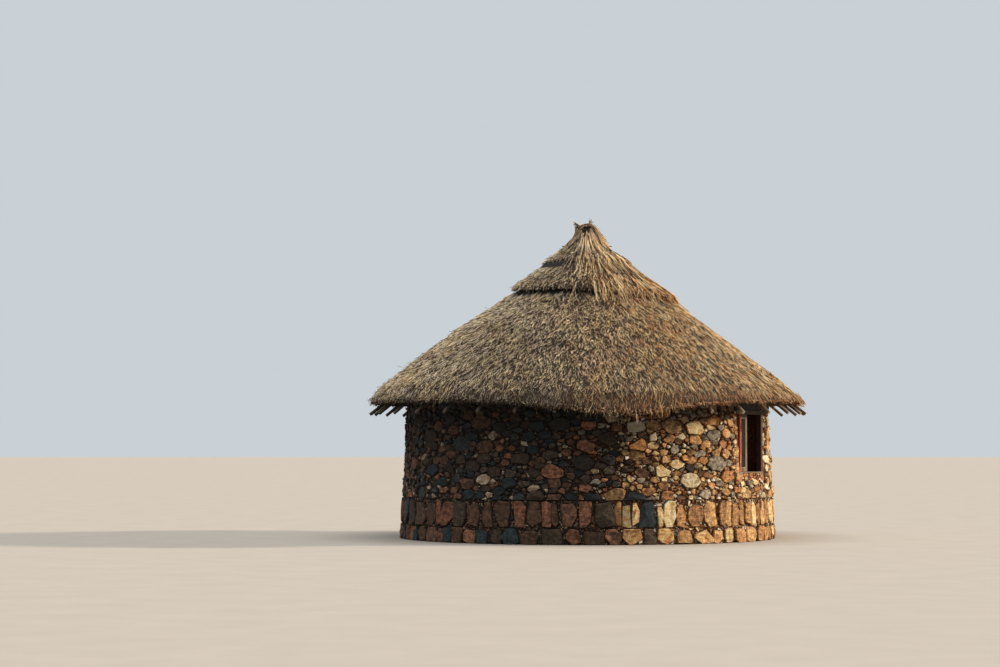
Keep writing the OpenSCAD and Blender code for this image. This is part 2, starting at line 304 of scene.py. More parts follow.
def sides_of(outline):
    """The sides of a flat outline, as pairs of corners"""
    return zip(outline, outline[1:] + outline[:1])


def area(outline):
    """The area of a flat outline"""
    return abs(sum(s0 * z1 - s1 * z0 for (s0, z0), (s1, z1) in sides_of(outline))) / 2


def trimmed(outline, cuts):
    """A flat outline less what lies beyond some lines, each a distance and a way from a point"""
    patch = bmesh.new()
    patch.faces.new([patch.verts.new((s, z, 0)) for s, z in outline])
    for (s, z), far, way in sorted(cuts, key=lambda cut: cut[1]):
        bmesh.ops.bisect_plane(patch, geom=patch.verts[:] + patch.edges[:] + patch.faces[:],
                               plane_co=(s + way[0] * far, z + way[1] * far, 0),
                               plane_no=(*way, 0), clear_outer=True)
    if patch.faces:
        size = math.sqrt(sum(f.calc_area() for f in patch.faces))
        bmesh.ops.remove_doubles(patch, verts=patch.verts[:], dist=max(0.01, 0.2 * size))
    found = [(v.co.x, v.co.y) for f in patch.faces[:1] for v in f.verts]
    patch.free()
    return found


def knapped(rng, middle, reach, tall, sides):
    """Lines of a broken stone's sides round a point, at about the given reaches from it"""
    turn = rng.uniform(0, FULL_TURN)
    cuts = []
    for i in range(sides):
        angle = turn + (i + rng.uniform(-0.3, 0.3)) * FULL_TURN / sides
        way = (math.cos(angle), math.sin(angle))
        far = math.hypot(way[0] * reach, way[1] * tall) * rng.uniform(0.64, 1.04)
        cuts.append((middle, far, way))
    return cuts


def rubble_cells(rng, width, low, high, sizes, wraps=False, blocked=()):
    """Outlines of broken stones that share a face out among thrown seeds.
    sizes says how large the seeds are, from and to, and how many are thrown a square metre."""
    seeds, grid, across = [], {}, max(1, int(width / STONE_SQUARE))

    def square(s, z):
        return int(s / width * across), int(z / STONE_SQUARE)

    def near(s, z):
        i, j = square(s, z)
        return [seed for di in (-1, 0, 1) for dj in (-1, 0, 1)
                for seed in grid.get(((i + di) % across if wraps else i + di, j + dj), ())]

    for smallest, largest, throws in sizes:
        for _ in range(int(throws * width * (high - low))):
            r = rng.uniform(smallest, largest)
            s, z = rng.uniform(0, width), rng.uniform(low, high)
            if any(a - r * 0.5 < s < b + r * 0.5 and c - r * 0.4 < z < d + r * 0.4
                   for a, b, c, d in blocked):
                continue
            if all(math.hypot(gap(t, s, width, wraps), (z - y) / FLATNESS) > 0.88 * (r + q)
                   for t, y, q in near(s, z)):
                seeds.append((s, z, r))
                grid.setdefault(square(s, z), []).append((s, z, r))
    outlines = []
    for s, z, r in seeds:
        half = r + 0.1
        cell = [(s + i * half, z + j * half) for i, j in ((-1, -1), (1, -1), (1, 1), (-1, 1))]
        cuts = knapped(rng, (s, z), r * 1.12, r * 1.12 * FLATNESS, rng.choice((3, 3, 4, 4, 5, 5)))
        for t, y, q in near(s, z):
            ds, dz = gap(s, t, width, wraps), (y - z) / FLATNESS
            far = math.hypot(ds, dz)
            if 0 < far < r + q + 0.15:
                # The line between two seeds in the flattened metric, put back in true shape
                way = Vector((ds, dz / FLATNESS)).normalized()
                share = (far * far + r * r - q * q) / (2 * far * far)
                cuts.append(((s, z), share * (ds * way.x + dz * FLATNESS * way.y), way))
        cuts += [((s, z), high - z, (0, 1)), ((s, z), z - low, (0, -1))]
        if not wraps:
            cuts += [((s, z), width - s, (1, 0)), ((s, z), s, (-1, 0))]
        for a, b, c, d in blocked:
            cuts.append(((s, z), *max((gap(s, a, width, wraps), (1, 0)),
                                      (gap(b, s, width, wraps), (-1, 0)),
                                      (c - z, (0, 1)), (z - d, (0, -1)))))
        outlines.append(trimmed(cell, cuts))
    return [o for o in outlines if len(o) > 2 and area(o) > 0.0012]


def slab_cells(rng, start, end, low, high, widths):
    """Outlines of one row of stones set on edge"""
    joints = [start]
    while joints[-1] < end - widths[1] * 1.2:
        joints.append(joints[-1] + rng.uniform(*widths) + rng.choice((0, 0, 0.02, 0.05)))
    joints.append(end)
    lean = [0] + [rng.uniform(-0.025, 0.025) for _ in joints[2:]] + [0]
    outlines = []
    for i, (a, b) in enumerate(zip(joints, joints[1:])):
        b -= rng.choice((0, 0, 0.03, 0.05)) if b - a > widths[0] + 0.05 else 0
        top = high - rng.choice((0, 0.01, 0.03, 0.06)) * (high - low) / 0.4
        cell = [(a - lean[i], low), (b - lean[i + 1], low), (b + lean[i + 1], top), (a + lean[i], top)]
        middle = ((a + b) / 2, (low + top) / 2)
        cuts = knapped(rng, middle, (b - a) * 0.62, (top - low) * 0.62, 5)
        outlines.append(trimmed(cell, cuts))
    return [o for o in outlines if len(o) > 2]


def chip_cells(rng, stones, width, high, throws, wraps=False, blocked=()):
    """Outlines of slivers wedged in the joints that the stones leave"""
    grid, chips, across = {}, [], max(1, int(width / CHIP_SQUARE))

    def squares(values, size, edge=0.05):
        return range(int((min(values) - edge) / size), int((max(values) + edge) / size) + 1)

    def note(outline):
        lines = []
        for (s0, z0), (s1, z1) in sides_of(outline):
            way = Vector((z1 - z0, s0 - s1)).normalized()
            lines.append((way.x, way.y, way.x * s0 + way.y * z0))
        s, z = zip(*outline)
        for i in squares(s, width / across):
            for j in squares(z, CHIP_SQUARE):
                key = (i % across if wraps else i, j)
                grid.setdefault(key, []).append((lines, sum(s) / len(s)))

    for outline in stones:
        note(outline)
    for _ in range(int(throws * width * high)):
        s, z = rng.uniform(0, width), rng.uniform(0.01, high - 0.01)
        if any(a - 0.02 < s < b + 0.02 and c - 0.02 < z < d + 0.02 for a, b, c, d in blocked):
            continue
        room, along = LARGEST_CHIP, rng.uniform(0, math.pi)
        for lines, middle in grid.get((int(s / width * across), int(z / CHIP_SQUARE)), ()):
            t = middle + gap(middle, s, width, wraps)
            far, x, y = max((x * t + y * z - c, x, y) for x, y, c in lines)
            if far < room:
                room, along = far, math.atan2(-x, y)
                if room < SMALLEST_CHIP:
                    break
        if room < SMALLEST_CHIP:
            continue
        long = room * rng.uniform(1.1, 2.4)
        turn = rng.uniform(0, 6.28)
        outline = []
        for k in range(rng.choice((3, 4, 4, 5))):
            angle = turn + (k + rng.uniform(-0.25, 0.25)) * FULL_TURN / 4.2
            x, y = math.cos(angle) * long, math.sin(angle) * room * 0.92
            outline.append((s + x * math.cos(along) - y * math.sin(along),
                            z + x * math.sin(along) + y * math.cos(along)))
        if area(outline) > 0.00012 and all(0 < p[1] < high for p in outline):
            chips.append(outline)
            note(outline)
    return chips


# Stone colours with their shares, on the side away from the sun and the side towards it. The shaded
# tables are darker and bluer, partly dolerite and brown sandstone and partly painted shade; the sunny
# tables are tan and cream sandstone
SHADED_STONES = {"#3d4447": 5, "#232e35": 6, "#453a31": 5, "#685044": 5, "#80604f": 4,
                 "#a27661": 2.5, "#5c534b": 5, "#c2b3a4": 1.8, "#2d2a26": 5}
SUNNY_STONES = {"#c5a176": 6, "#d4b083": 7, "#b58e64": 4, "#e4cca3": 6, "#aea79c": 5,
                "#918b82": 4, "#9d7350": 3, "#c5915c": 2.5, "#7b5f4a": 2, "#f1e3c8": 4}
# Longer blocks of browner sandstone were kept for the two lowest rows; their shaded table carries
# painted shade too
SHADED_BLOCKS = {"#5a4638": 6, "#725546": 6, "#8a614e": 5, "#2c3a42": 4, "#473d33": 4, "#ab7f67": 2}
SUNNY_BLOCKS = {"#c49b6c": 6, "#d2aa7a": 6, "#b58b5f": 4, "#e3c798": 5, "#a27a54": 3,
                "#efd9b2": 3, "#a7988a": 1}
# Slivers wedged in the joints, with pale fresh breaks among them; their shaded table carries painted
# shade too
SHADED_CHIPS = {"#33322f": 6, "#574a41": 5, "#7a6859": 3, "#9d8d7d": 2, "#c9bcac": 1.2}
SUNNY_CHIPS = {"#7b4b2e": 4, "#97653f": 4, "#bd946a": 4, "#e6d8be": 5, "#fbf4e4": 3,
               "#5b4636": 2, "#a29a8f": 3}


def stone_colour(rng, angle, height, small):
    """A stone's colour, by the side of the hut that it is on and the row that it is in: darker tables
    with painted shade on the side away from the sun, and painted eave shadow at the top
    """
    # The change is sharper in front than at the back
    spread = 0.07 + 0.14 * max(0, math.sin(angle))
    # How squarely this side faces the sun lamp, which sets how much painted shade its stones get
    sun_facing = 0.365 + 0.62 * math.cos(angle + math.radians(19))
    sunny = sun_facing + rng.gauss(0, spread)
    if small:
        table = SUNNY_CHIPS if sunny > 0.58 else SHADED_CHIPS
    elif height < SLABS_TOP:
        table = SUNNY_BLOCKS if sunny > 0.7 else SHADED_BLOCKS
    else:
        table = SUNNY_STONES if sunny > 0.64 else SHADED_STONES
    colour = Vector(linear(rng.choices(list(table), list(table.values()))[0])[:3])
    shade = rng.uniform(0.78, 1.18)
    # Painted eave shadow: the stones darken under the eave, reaching lowest on the side away from the
    # sun
    foot = 1.5 + 0.45 * clamp(sun_facing) + 0.35 * max(0, math.sin(angle))
    return colour * (shade * (1 - 0.72 * clamp((height - foot) / 0.3)))


def draw_in(face, inward, height):
    """Draws a flat outline in towards its middle and sets its height"""
    middle = face.calc_center_median()
    for v in face.verts:
        away = v.co - middle
        v.co -= away * min(0.45, inward / max(away.length, 0.001))
        v.co.z = height


def lay_stones(name, outlines, place, rng, material, corner, rings, height, waver):
    """Closed stone shells over flat outlines, set on a face by its place function.
    rings says how far each ring of a stone's face is drawn in, and its share of the height."""
    shape = bmesh.new()
    for outline in outlines:
        shape.faces.new([shape.verts.new((s, z, 0)) for s, z in outline])
    if corner:
        bmesh.ops.bevel(shape, geom=shape.verts[:], offset=corner, offset_type="OFFSET", segments=1,
                        profile=0.5, affect="VERTICES", clamp_overlap=True, material=-1)
        for side in [e for e in shape.edges if e.calc_length() > corner * 9]:
            bmesh.utils.edge_split(side, side.verts[0], 0.5)
    for v in shape.verts:
        shift = noise.noise_vector(v.co * (0.1 / waver) + UP * 3.1)
        v.co += Vector((shift.x, shift.y, 0)) * waver
    tops = shape.faces[:]
    rims = shape.edges[:]
    for inward, rise in rings:
        tops = bmesh.ops.extrude_discrete_faces(shape, faces=tops)["faces"]
        for face in tops:
            draw_in(face, inward, height * rise)
    # The operator hands its peaks back in no fixed order
    for v in sorted(bmesh.ops.poke(shape, faces=tops)["verts"], key=lambda v: v.co[:]):
        reach = min(e.calc_length() for e in v.link_edges) * 0.45
        v.co += Vector((rng.uniform(-reach, reach), rng.uniform(-reach, reach),
                        rng.uniform(-0.25, 0.45) * height))
    bmesh.ops.holes_fill(shape, edges=rims, sides=0)
    bmesh.ops.recalc_face_normals(shape, faces=shape.faces[:])
    tint = shape.verts.layers.float_color.new("stone_tint")
    rise = shape.verts.layers.float.new("rise")
    for group in islands(shape):
        s0 = sum(v.co.x for v in group) / len(group)
        z0 = sum(v.co.y for v in group) / len(group)
        reach = max(math.hypot(v.co.x - s0, v.co.y - z0) for v in group)
        colour = stone_colour(rng, s0 / FACE_R, z0, reach < 0.05)
        stand = rng.uniform(0.5, 1.4)
        # Its face tips by up to 10 mm at its far ends
        tip = min(0.16, 0.01 / reach)
        lean_s, lean_z = rng.gauss(0, tip), rng.gauss(0, tip)
        for v in group:
            s, z, h = v.co
            share = h / height
            v[tint] = (*colour, 1)
            v[rise] = share
            h = h * stand + share * (lean_s * (s - s0) + lean_z * (z - z0))
            h += share * noise.noise(Vector((s * 15, z * 15, s0 * 7))) * height * 0.4
            v.co = place(s, max(z, 0), max(h, 0.003) if share > 0.01 else -ROOT)
    add_piece(name, shape, material, "rubble_masonry", sharp=20)


def field_stone():
    """Dolerite and sandstone picked from the veld: rough broken faces with mottled grain,
    bedding streaks, and mud on their edges"""
    material, tree, shader, place = start_material("field_stone", 0.88)
    # Mottling of 60 mm blotches, 13 mm grains and bedding 25 mm apart
    blotch = noise_in(tree, place, 17, 5, 0.65)
    grain = noise_in(tree, place, 75, 4, 0.7)
    beds = add_node(tree, "ShaderNodeMapping", {"Vector": place, "Rotation": (0.3, 0.2, 0),
                                               "Scale": (6, 6, 40)}).outputs[0]
    beds = noise_in(tree, beds, 1, 4, 0.6)
    colour = own(tree, "stone_tint", "Color")
    for share, layer, stops in (
            (0.8, blotch, {0.36: "#5a554e", 0.5: "#bbb6ad", 0.64: "#fbf7ec"}),
            (0.36, beds, {0.38: "#67625b", 0.5: "#bab5ac", 0.62: "#f3eee3"}),
            (0.4, grain, {0.34: "#6f6a64", 0.5: "#bdbab4", 0.66: "#f2efe8"})):
        colour = mixed_colour(tree, share, colour, colour_ramp(tree, layer, stops), "OVERLAY")
    colour = mixed_colour(tree, ranged(tree, own(tree, "rise"), 0.25, 0.8), "#251b14", colour)
    height = calc(tree, "ADD", calc(tree, "ADD", blotch, grain), beds)
    return finish_material(material, shader, colour, height, 0.9, 0.012)


def mud_bedding():
    """Mud that the stones are bedded in: raw and crumbly in the joints outside,
    smeared by hand into a plaster in the room"""
    material, tree, shader, place = start_material("mud_bedding", 0.95)
    lumps = noise_in(tree, place, 26, 6, 0.7)
    wet_and_shaded = colour_ramp(tree, lumps, {0.3: "#120d09", 0.52: "#281d15", 0.75: "#47362a"})
    dry_and_sunlit = colour_ramp(tree, lumps, {0.3: "#351c0f", 0.52: "#6b4128", 0.75: "#9c6a45"})
    # The joints' mud is darker away from the sun, partly damp mud and partly painted shade
    towards = vector_calc(tree, "DOT_PRODUCT", place, (0.9, -0.44, 0))[1]
    raw = mixed_colour(tree, ranged(tree, towards, 1, 2.4), wet_and_shaded, dry_and_sunlit)
    # Painted eave shadow under the eave, as on the stones
    y, z = split(tree, place)[1:]
    foot = calc(tree, "MULTIPLY_ADD", calc(tree, "MAXIMUM", towards, 0), -0.17, z)
    foot = calc(tree, "MULTIPLY_ADD", calc(tree, "MAXIMUM", y, 0), -0.12, foot)
    raw = mixed_colour(tree, ranged(tree, foot, 1.5, 1.8, 0, 0.8), raw, "#0d0b09")
    sweeps = noise_in(tree, place, 3.2, 3, distortion=1.2)
    plaster = colour_ramp(tree, sweeps, {0.3: "#6b513b", 0.7: "#8d6f53"})
    outside = ranged(tree, out_from_axis(tree, place), 2.5, 2.6)
    return finish_material(material, shader, mixed_colour(tree, outside, plaster, raw),
                           mixed_number(tree, outside, sweeps, lumps), 0.8, 0.02)


def wall_stones(stone):
    """The stones of the wall's outer face: a foot row, a row of slabs on edge, and rubble"""
    rng = random.Random(41)
    openings = (opening_on_face(WINDOW_TURN, WINDOW_HALF, WINDOW_LOW, WINDOW_HIGH),
                opening_on_face(DOOR_TURN, DOOR_HALF, -0.1, DOOR_HIGH))
    round_wall = (openings[1][1], openings[1][0] + ROUND)
    stones = slab_cells(rng, *round_wall, 0.0, FOOT_ROW_TOP, (0.13, 0.34))
    stones += slab_cells(rng, *round_wall, FOOT_ROW_TOP + 0.005, SLABS_TOP, (0.09, 0.3))
    stones += rubble_cells(rng, ROUND, SLABS_TOP + 0.01, 2.4,
                           ((0.13, 0.19, 5), (0.08, 0.13, 50), (0.045, 0.08, 260), (0.03, 0.045, 400)),
                           wraps=True, blocked=openings)
    chips = chip_cells(rng, stones, ROUND, 2.4, 2600, wraps=True, blocked=openings)
    large = [o for o in stones if area(o) > 0.02]
    middling = [o for o in stones if area(o) <= 0.02]
    for name, outlines, *form in (
            ("wall_stones", large, 0.006, ((0.004, 0.82), (0.007, 0.98), (0.03, 1.0)), 0.042, 0.01),
            ("wall_small_stones", middling, 0.004, ((0.004, 0.85), (0.007, 1.0)), 0.036, 0.006),
            ("wall_chips", chips, 0, ((0.004, 0.8),), 0.02, 0.003)):
        lay_stones(name, outlines, wall_face, rng, stone, *form)


def reveal_stones(stone):
    """The ends of the stones that line the doorway outside its frame"""
    rng = random.Random(17)
    wide, high = 0.35, 1.94
    for side, way in (("left", 1), ("right", -1)):
        cells = rubble_cells(rng, wide, 0.0, high, ((0.09, 0.15, 60), (0.05, 0.08, 300)))
        cells += chip_cells(rng, cells, wide, high, 1500)

        def on_reveal(s, z, h):
            return Vector((way * (h * 0.5 - DOOR_HALF), 2.535 + s, z))

        lay_stones("door_reveal_" + side, cells, on_reveal, rng, stone, 0.006,
                   ((0.003, 0.0), (0.003, 0.8), (0.01, 1.0)), 0.03, 0.006)


def height_in_coat(point):
    """How high a point stands over the underside of the thatch"""
    return point.z - UNDER_FOOT_Z - (UNDER_FOOT_R - math.hypot(point.x, point.y)) * math.tan(SLOPE)


def straw_bed(name, nodes, material, fine, waver, sink, covered):
    """The body of a course of thatch: its closed solid, made uneven like packed straw.
    Its vertices say how thick straws grow there and which way they lie.
    covered is true where the next course up hides it."""
    shape = bmesh.new()
    for node in nodes:
        shape.from_mesh(cad[node].data)
    # Quarters that meet face to face become one coat
    if len(nodes) > 1:
        seams = [f for f in shape.faces
                 if abs(f.normal.dot(UP.cross(outward(f.calc_center_median())))) > 0.9]
        bmesh.ops.delete(shape, geom=seams, context="FACES_ONLY")
    bmesh.ops.remove_doubles(shape, verts=shape.verts[:], dist=SAME_POINT)
    for _ in range(4):
        long = [e for e in shape.edges if e.calc_length() > fine
                and max(height_in_coat(v.co) for v in e.verts) > 0.03]
        bmesh.ops.subdivide_edges(shape, edges=long, cuts=1)
    bmesh.ops.triangulate(shape, faces=[f for f in shape.faces if len(f.verts) > 4])
    shape.normal_update()
    floats = shape.verts.layers.float
    growth = {side: floats.new("straw_" + side) for side in ROOF_SIDES}
    flow = shape.verts.layers.float_vector.new("flow")
    lip, matted, lip_shadow = [floats.new(layer) for layer in ("lip", "matted", "lip_shadow")]
    for v in shape.verts:
        out = outward(v.co)
        up_slope = out * math.sin(SLOPE) + UP * math.cos(SLOPE)
        down_slope = out * math.cos(SLOPE) - UP * math.sin(SLOPE)
        share = clamp(height_in_coat(v.co) / 0.1)
        facing = v.normal.dot(up_slope)
        hidden = covered(v.co)
        open_air = 0 if facing < -0.5 or hidden else 1
        edge = clamp((0.75 - facing) * 1.6) if v.normal.dot(out) > 0 else 0
        comb = noise.noise(v.co * 1.9 + Vector((4, 0, 0))) * 0.3
        way = down_slope - v.normal * down_slope.dot(v.normal) * (1 - edge * 0.7)
        way = way.normalized() + UP.cross(out) * comb - UP * (edge * 0.35)
        side = ROOF_SIDES[round(math.degrees(math.atan2(v.co.y, v.co.x)) / 90) % 4]
        v[growth[side]] = open_air
        v[lip] = edge * open_air
        v[flow] = way.normalized()
        # Where the bed is painted near-black as the lip's shadow
        v[lip_shadow] = hidden
        # The sunny side is combed by the wind, and the rest is matted
        v[matted] = clamp(0.75 - out.x * 0.9 + noise.noise(v.co * 0.8) * 0.5, 0.1)
        lumps = noise.noise(v.co * 1.6) + 0.55 * noise.noise(v.co * 5.5 + Vector((0, 9, 0)))
        v.co += (up_slope * lumps * waver - v.normal * sink * (1.8 if hidden else 1)) * share
    return add_piece(name, shape, material, "grass_thatch", *nodes, sharp=60)


def straw_coat(name, bed, material, where, per_square_metre, length, width, seed, lift, back, tail=0):
    """Straws over a bed as real geometry: slim closed spikes that lie the bed's way,
    rooted at their points with the butts free, and each with a tone of its own.
    where names the bed's attribute that says how thick they grow, lift is how steeply they
    rise, from and to, back is how far they are drawn up the slope in lengths, and tail is
    how many lengths longer the longest are."""
    tree = bpy.data.node_groups.new(name, "GeometryNodeTree")
    for way in ("INPUT", "OUTPUT"):
        tree.interface.new_socket("Geometry", in_out=way, socket_type="NodeSocketGeometry")

    def of_bed(attribute, kind="FLOAT"):
        return add_node(tree, "GeometryNodeInputNamedAttribute", {0: attribute},
                        data_type=kind).outputs[0]

    def stored(geometry, attribute, value, domain):
        return add_node(tree, "GeometryNodeStoreNamedAttribute",
                        {0: geometry, 2: attribute, 3: value},
                        data_type="FLOAT", domain=domain).outputs[0]

    def drawn(low, high, draw):
        """A random number or vector for each straw, from a seed of its own"""
        socket, kind = (0, "FLOAT_VECTOR") if isinstance(low, tuple) else (2, "FLOAT")
        return add_node(tree, "FunctionNodeRandomValue",
                        {socket: low, socket + 1: high, 8: seed + draw},
                        data_type=kind).outputs[socket // 2]

    surface = add_node(tree, "NodeGroupInput").outputs[0]
    thick = calc(tree, "MULTIPLY", of_bed(where), per_square_metre)
    roots = add_node(tree, "GeometryNodeDistributePointsOnFaces", {0: surface, 4: thick, 6: seed})
    normal = roots.outputs["Normal"]
    flow = of_bed("flow", "FLOAT_VECTOR")
    # Straws stray along the surface, and rise from it only as far as lift says
    loose = calc(tree, "MULTIPLY_ADD", of_bed("matted"), 0.75, 0.25)
    stray = scaled(tree, drawn((-0.6,) * 3, (0.6,) * 3, 1), loose)
    off_bed = vector_calc(tree, "PROJECT", stray, normal)[0]
    stray = vector_calc(tree, "SUBTRACT", stray, off_bed)[0]
    wide, deep, long = split(tree, drawn((0.55, 0.5, 0.55), (1.25, 1.1, 1.2), 4))
    rare = calc(tree, "POWER", drawn(0, 1, 6), 5)
    long = calc(tree, "MULTIPLY_ADD", rare, tail, long)
    # A long straw lies as flat as a short one rises
    raised = calc(tree, "DIVIDE", drawn(*lift, 2), long)
    proud = scaled(tree, normal, calc(tree, "MULTIPLY", raised, loose))
    way = vector_calc(tree, "ADD", vector_calc(tree, "ADD", flow, stray)[0], proud)[0]
    turned = add_node(tree, "FunctionNodeAxesToRotation", {0: way, 1: normal},
                      primary_axis="Z", secondary_axis="X").outputs[0]
    sunk = scaled(tree, normal, drawn(-0.014, 0.002, 3))
    drawn_back = scaled(tree, flow, calc(tree, "MULTIPLY", long, -length * back))
    moved = vector_calc(tree, "ADD", sunk, drawn_back)[0]
    rooted = add_node(tree, "GeometryNodeSetPosition", {0: roots.outputs[0], 3: moved}).outputs[0]
    spike = add_node(tree, "GeometryNodeMeshCone",
                     {0: 3, 1: 1, 2: 1, 3: width / 2, 4: 0.0, 5: length},
                     fill_type="NGON").outputs[0]
    along = split(tree, add_node(tree, "GeometryNodeInputPosition").outputs[0])[2]
    spike = stored(spike, "butt", calc(tree, "DIVIDE", along, length), "POINT")
    laid = add_node(tree, "GeometryNodeInstanceOnPoints",
                    {0: rooted, 2: spike, 5: turned, 6: joined(tree, wide, deep, long)}).outputs[0]
    toned = stored(laid, "tone", drawn(0, 1, 5), "INSTANCE")
    whole = add_node(tree, "GeometryNodeRealizeInstances", {0: toned}).outputs[0]
    add_node(tree, "NodeGroupOutput", {0: whole})

    grower = bpy.data.objects.new(name, bed.data)
    scene.collection.objects.link(grower)
    grower.modifiers.new("straw", "NODES").node_group = tree
    ready = grower.evaluated_get(bpy.context.evaluated_depsgraph_get())
    mesh = bpy.data.meshes.new_from_object(ready)
    mesh.name = name
    mesh.materials.clear()
    mesh.materials.append(material)
    grower.modifiers.clear()
    grower.data = mesh
    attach(grower, "root")


def grass_straw():
    """Cut veld grass, weathered grey-brown on top and golden towards the sun, partly dry grass and
    partly painted sunlight: slim glossless stalks, drawn as bunches about 10 mm wide so that they show"""
    material, tree, shader, place = start_material("weathered_grass", 0.8)
    # Clumps of 110 mm that share a tone
    clump = noise_in(tree, place, 9, 3, 0.6)
    mixed = calc(tree, "MULTIPLY_ADD", own(tree, "tone"), 1.32,
                 calc(tree, "MULTIPLY_ADD", clump, 0.8, -0.45))
    # Locks combed down the slope, 30 mm wide and a third of a metre long, that wander a little
    out, angle, z = round_the_axis(tree, place)
    wander = noise_in(tree, place, 1.4, 2)
    across = calc(tree, "MULTIPLY_ADD", wander, 40, calc(tree, "MULTIPLY", angle, 80))
    locks = joined(tree, across, calc(tree, "MULTIPLY", out, 3.6))
    locks = noise_in(tree, locks, 1, 2, 0.6)
    mixed = calc(tree, "ADD", mixed, calc(tree, "MULTIPLY_ADD", locks, 1.5, -0.75))
    aged = noise_in(tree, place, 2.6, 4, 0.65)
    mixed = calc(tree, "ADD", mixed, calc(tree, "MULTIPLY_ADD", aged, 0.9, -0.45))

    def shades(*codes):
        return colour_ramp(tree, mixed, dict(zip((0.2, 0.42, 0.64, 0.86), codes)))

    # Patches a third of a metre across where the grass has gone mauve-brown, or rusty on the golden
    # side
    turned = ranged(tree, noise_in(tree, place, 3.1, 3, 0.6), 0.46, 0.62)
    grey = mixed_colour(tree, turned, shades("#1f170e", "#806a49", "#dfc898", "#fff1cc"),
                        shades("#1b120e", "#725846", "#caad8b", "#f9e9d2"))
    gold = mixed_colour(tree, turned, shades("#301a0a", "#b4763a", "#ffc97a", "#ffedbc"),
                        shades("#2b1409", "#9a5b2d", "#eaa962", "#fde1ae"))
    # Golden towards the east, where the sun lamp stands, with patches of half a metre: partly dry grass
    # and partly painted sunlight
    east = ranged(tree, split(tree, place)[0], -0.6, 2.2)
    patch = noise_in(tree, place, 1.8, 2)
    dry_and_sunlit = ranged(tree, calc(tree, "MULTIPLY_ADD", patch, 0.9, east), 0.42, 1.08)
    colour = mixed_colour(tree, dry_and_sunlit, grey, gold)
    # The lowest butts are darker, partly from rain dripping off them and partly as painted shade under
    # the eave, and rust-brown on the golden, sunlit side
    drip_and_shade = ranged(tree, z, 2.2, 2.34, 0.55, 0)
    colour = mixed_colour(tree, drip_and_shade, colour, mixed_colour(tree, dry_and_sunlit, "#3d2d25", "#a0683c"))
    # Painted shade: each straw darkens towards its rooted end, where the straws over it would shade it
    rooted = ranged(tree, own(tree, "butt"), 0, 0.4, 0.15, 1)
    return finish_material(material, shader, mixed_colour(tree, rooted, "#1d150f", colour))


def packed_straw():
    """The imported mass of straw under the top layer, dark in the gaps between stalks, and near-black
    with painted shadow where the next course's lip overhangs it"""
    material, tree, shader, place = start_material("packed_grass", 0.95)
    mass = noise_in(tree, place, 60, 5, 0.7)
    colour = colour_ramp(tree, mass, {0.3: "#0d0a07", 0.5: "#2b2219", 0.72: "#5a4a37"})
    # Painted shadow under the next course's lip
    shadow_share = ranged(tree, own(tree, "lip_shadow"), 0, 0.5, 0, 0.85)
    colour = mixed_colour(tree, shadow_share, colour, "#0c0907")
    return finish_material(material, shader, colour, mass, 1, 0.02)


def roof():
    """The courses of thatch, each a packed bed under a coat of loose straws"""
    bed_finish, straw = packed_straw(), grass_straw()

    def joint(lip, swing, bare):
        """What a course leaves bare, where its bed shows painted shadow: all under the next course's
        lip, and a strip below it on the left"""
        def is_bare(c):
            r = math.hypot(c.x, c.y)
            shade = clamp(0.35 - 1.1 * c.x / r - 0.5 * max(0, c.y / r))
            return r < lip + swing * c.x / r + bare * shade - 0.06 * (1 - shade)
        return is_bare

    main = straw_bed("main_thatch_bed", ["main_thatch_" + side for side in ROOF_SIDES], bed_finish,
                     0.13, 0.02, 0.03, joint(1.33, 0.12, 0.1))
    cap = straw_bed("thatch_cap_bed", ["thatch_cap"], bed_finish,
                    0.1, 0.014, 0.022, joint(0.69, 0, 0.055))
    crown = straw_bed("crown_course_bed", ["crown_course"], bed_finish,
                      0.08, 0.008, 0.015, lambda c: math.hypot(c.x, c.y) < 0.33)
    for i, side in enumerate(ROOF_SIDES):
        for bed, course, tail in ((main, "main", 1.5), (cap, "cap", 0.3), (crown, "crown", 0.3)):
            straw_coat(f"{course}_straw_{side}", bed, straw, "straw_" + side, 1800, 0.125, 0.009,
                       10 * i + 3, (0, 0.19), 0.7, tail)
    surface = thatch_surface()
    crown_tuft(straw, bed_finish, surface)
    raked_straws(straw, surface)
    crown_rope(dark_rope())
    eave_fringe(main, straw)
    # Short cut butts bristle from each course's lower edge
    for i, (bed, course, length, rise) in enumerate((
            (main, "main", 0.07, 0.35), (cap, "cap", 0.04, 0.12), (crown, "crown", 0.04, 0.12))):
        straw_coat(course + "_straw_ends", bed, straw, "lip", 4500, length, 0.011,
                   10 * i + 103, (0.05, rise), 0.6)


def timber(name, colours, turn, along, grain=0.012, paint=None, bleached_and_sunlit=None):
    """Sawn or hewn timber left to the weather: fine streaks along the grain, and stains. turn and along
    say which way the grain lies, paint is what flakes off it, and the last argument gives the pale
    colour of the end that the eave doesn't shelter, partly bleached wood and partly painted sunlight,
    and where it ends."""
    material, tree, shader, place = start_material(name, 0.8)
    turned = add_node(tree, "ShaderNodeVectorRotate",
                      {"Vector": place, "Angle": math.radians(-turn)},
                      rotation_type="Z_AXIS").outputs[0]
    streaks = streaks_in(tree, turned, grain, along)
    stains = noise_in(tree, place, 6, 3)
    colour = colour_ramp(tree, mixed_number(tree, 0.4, streaks, stains),
                         dict(zip((0.36, 0.5, 0.64), colours)))
    if bleached_and_sunlit:
        pale, start = bleached_and_sunlit
        end = calc(tree, "MULTIPLY_ADD", streaks, -0.08, split(tree, turned)[along])
        colour = mixed_colour(tree, ranged(tree, end, start, start + 0.04),
                              mixed_colour(tree, 0.35, pale, colour), colour)
    if paint:
        coat = colour_ramp(tree, stains, dict(zip((0.4, 0.6), paint)))
        flakes = calc(tree, "ADD", noise_in(tree, place, 38, 4, 0.7), streaks)
        colour = mixed_colour(tree, ranged(tree, flakes, 1.1, 1.16), coat, colour)
    return finish_material(material, shader, colour, streaks, 0.8, grain * 0.4)


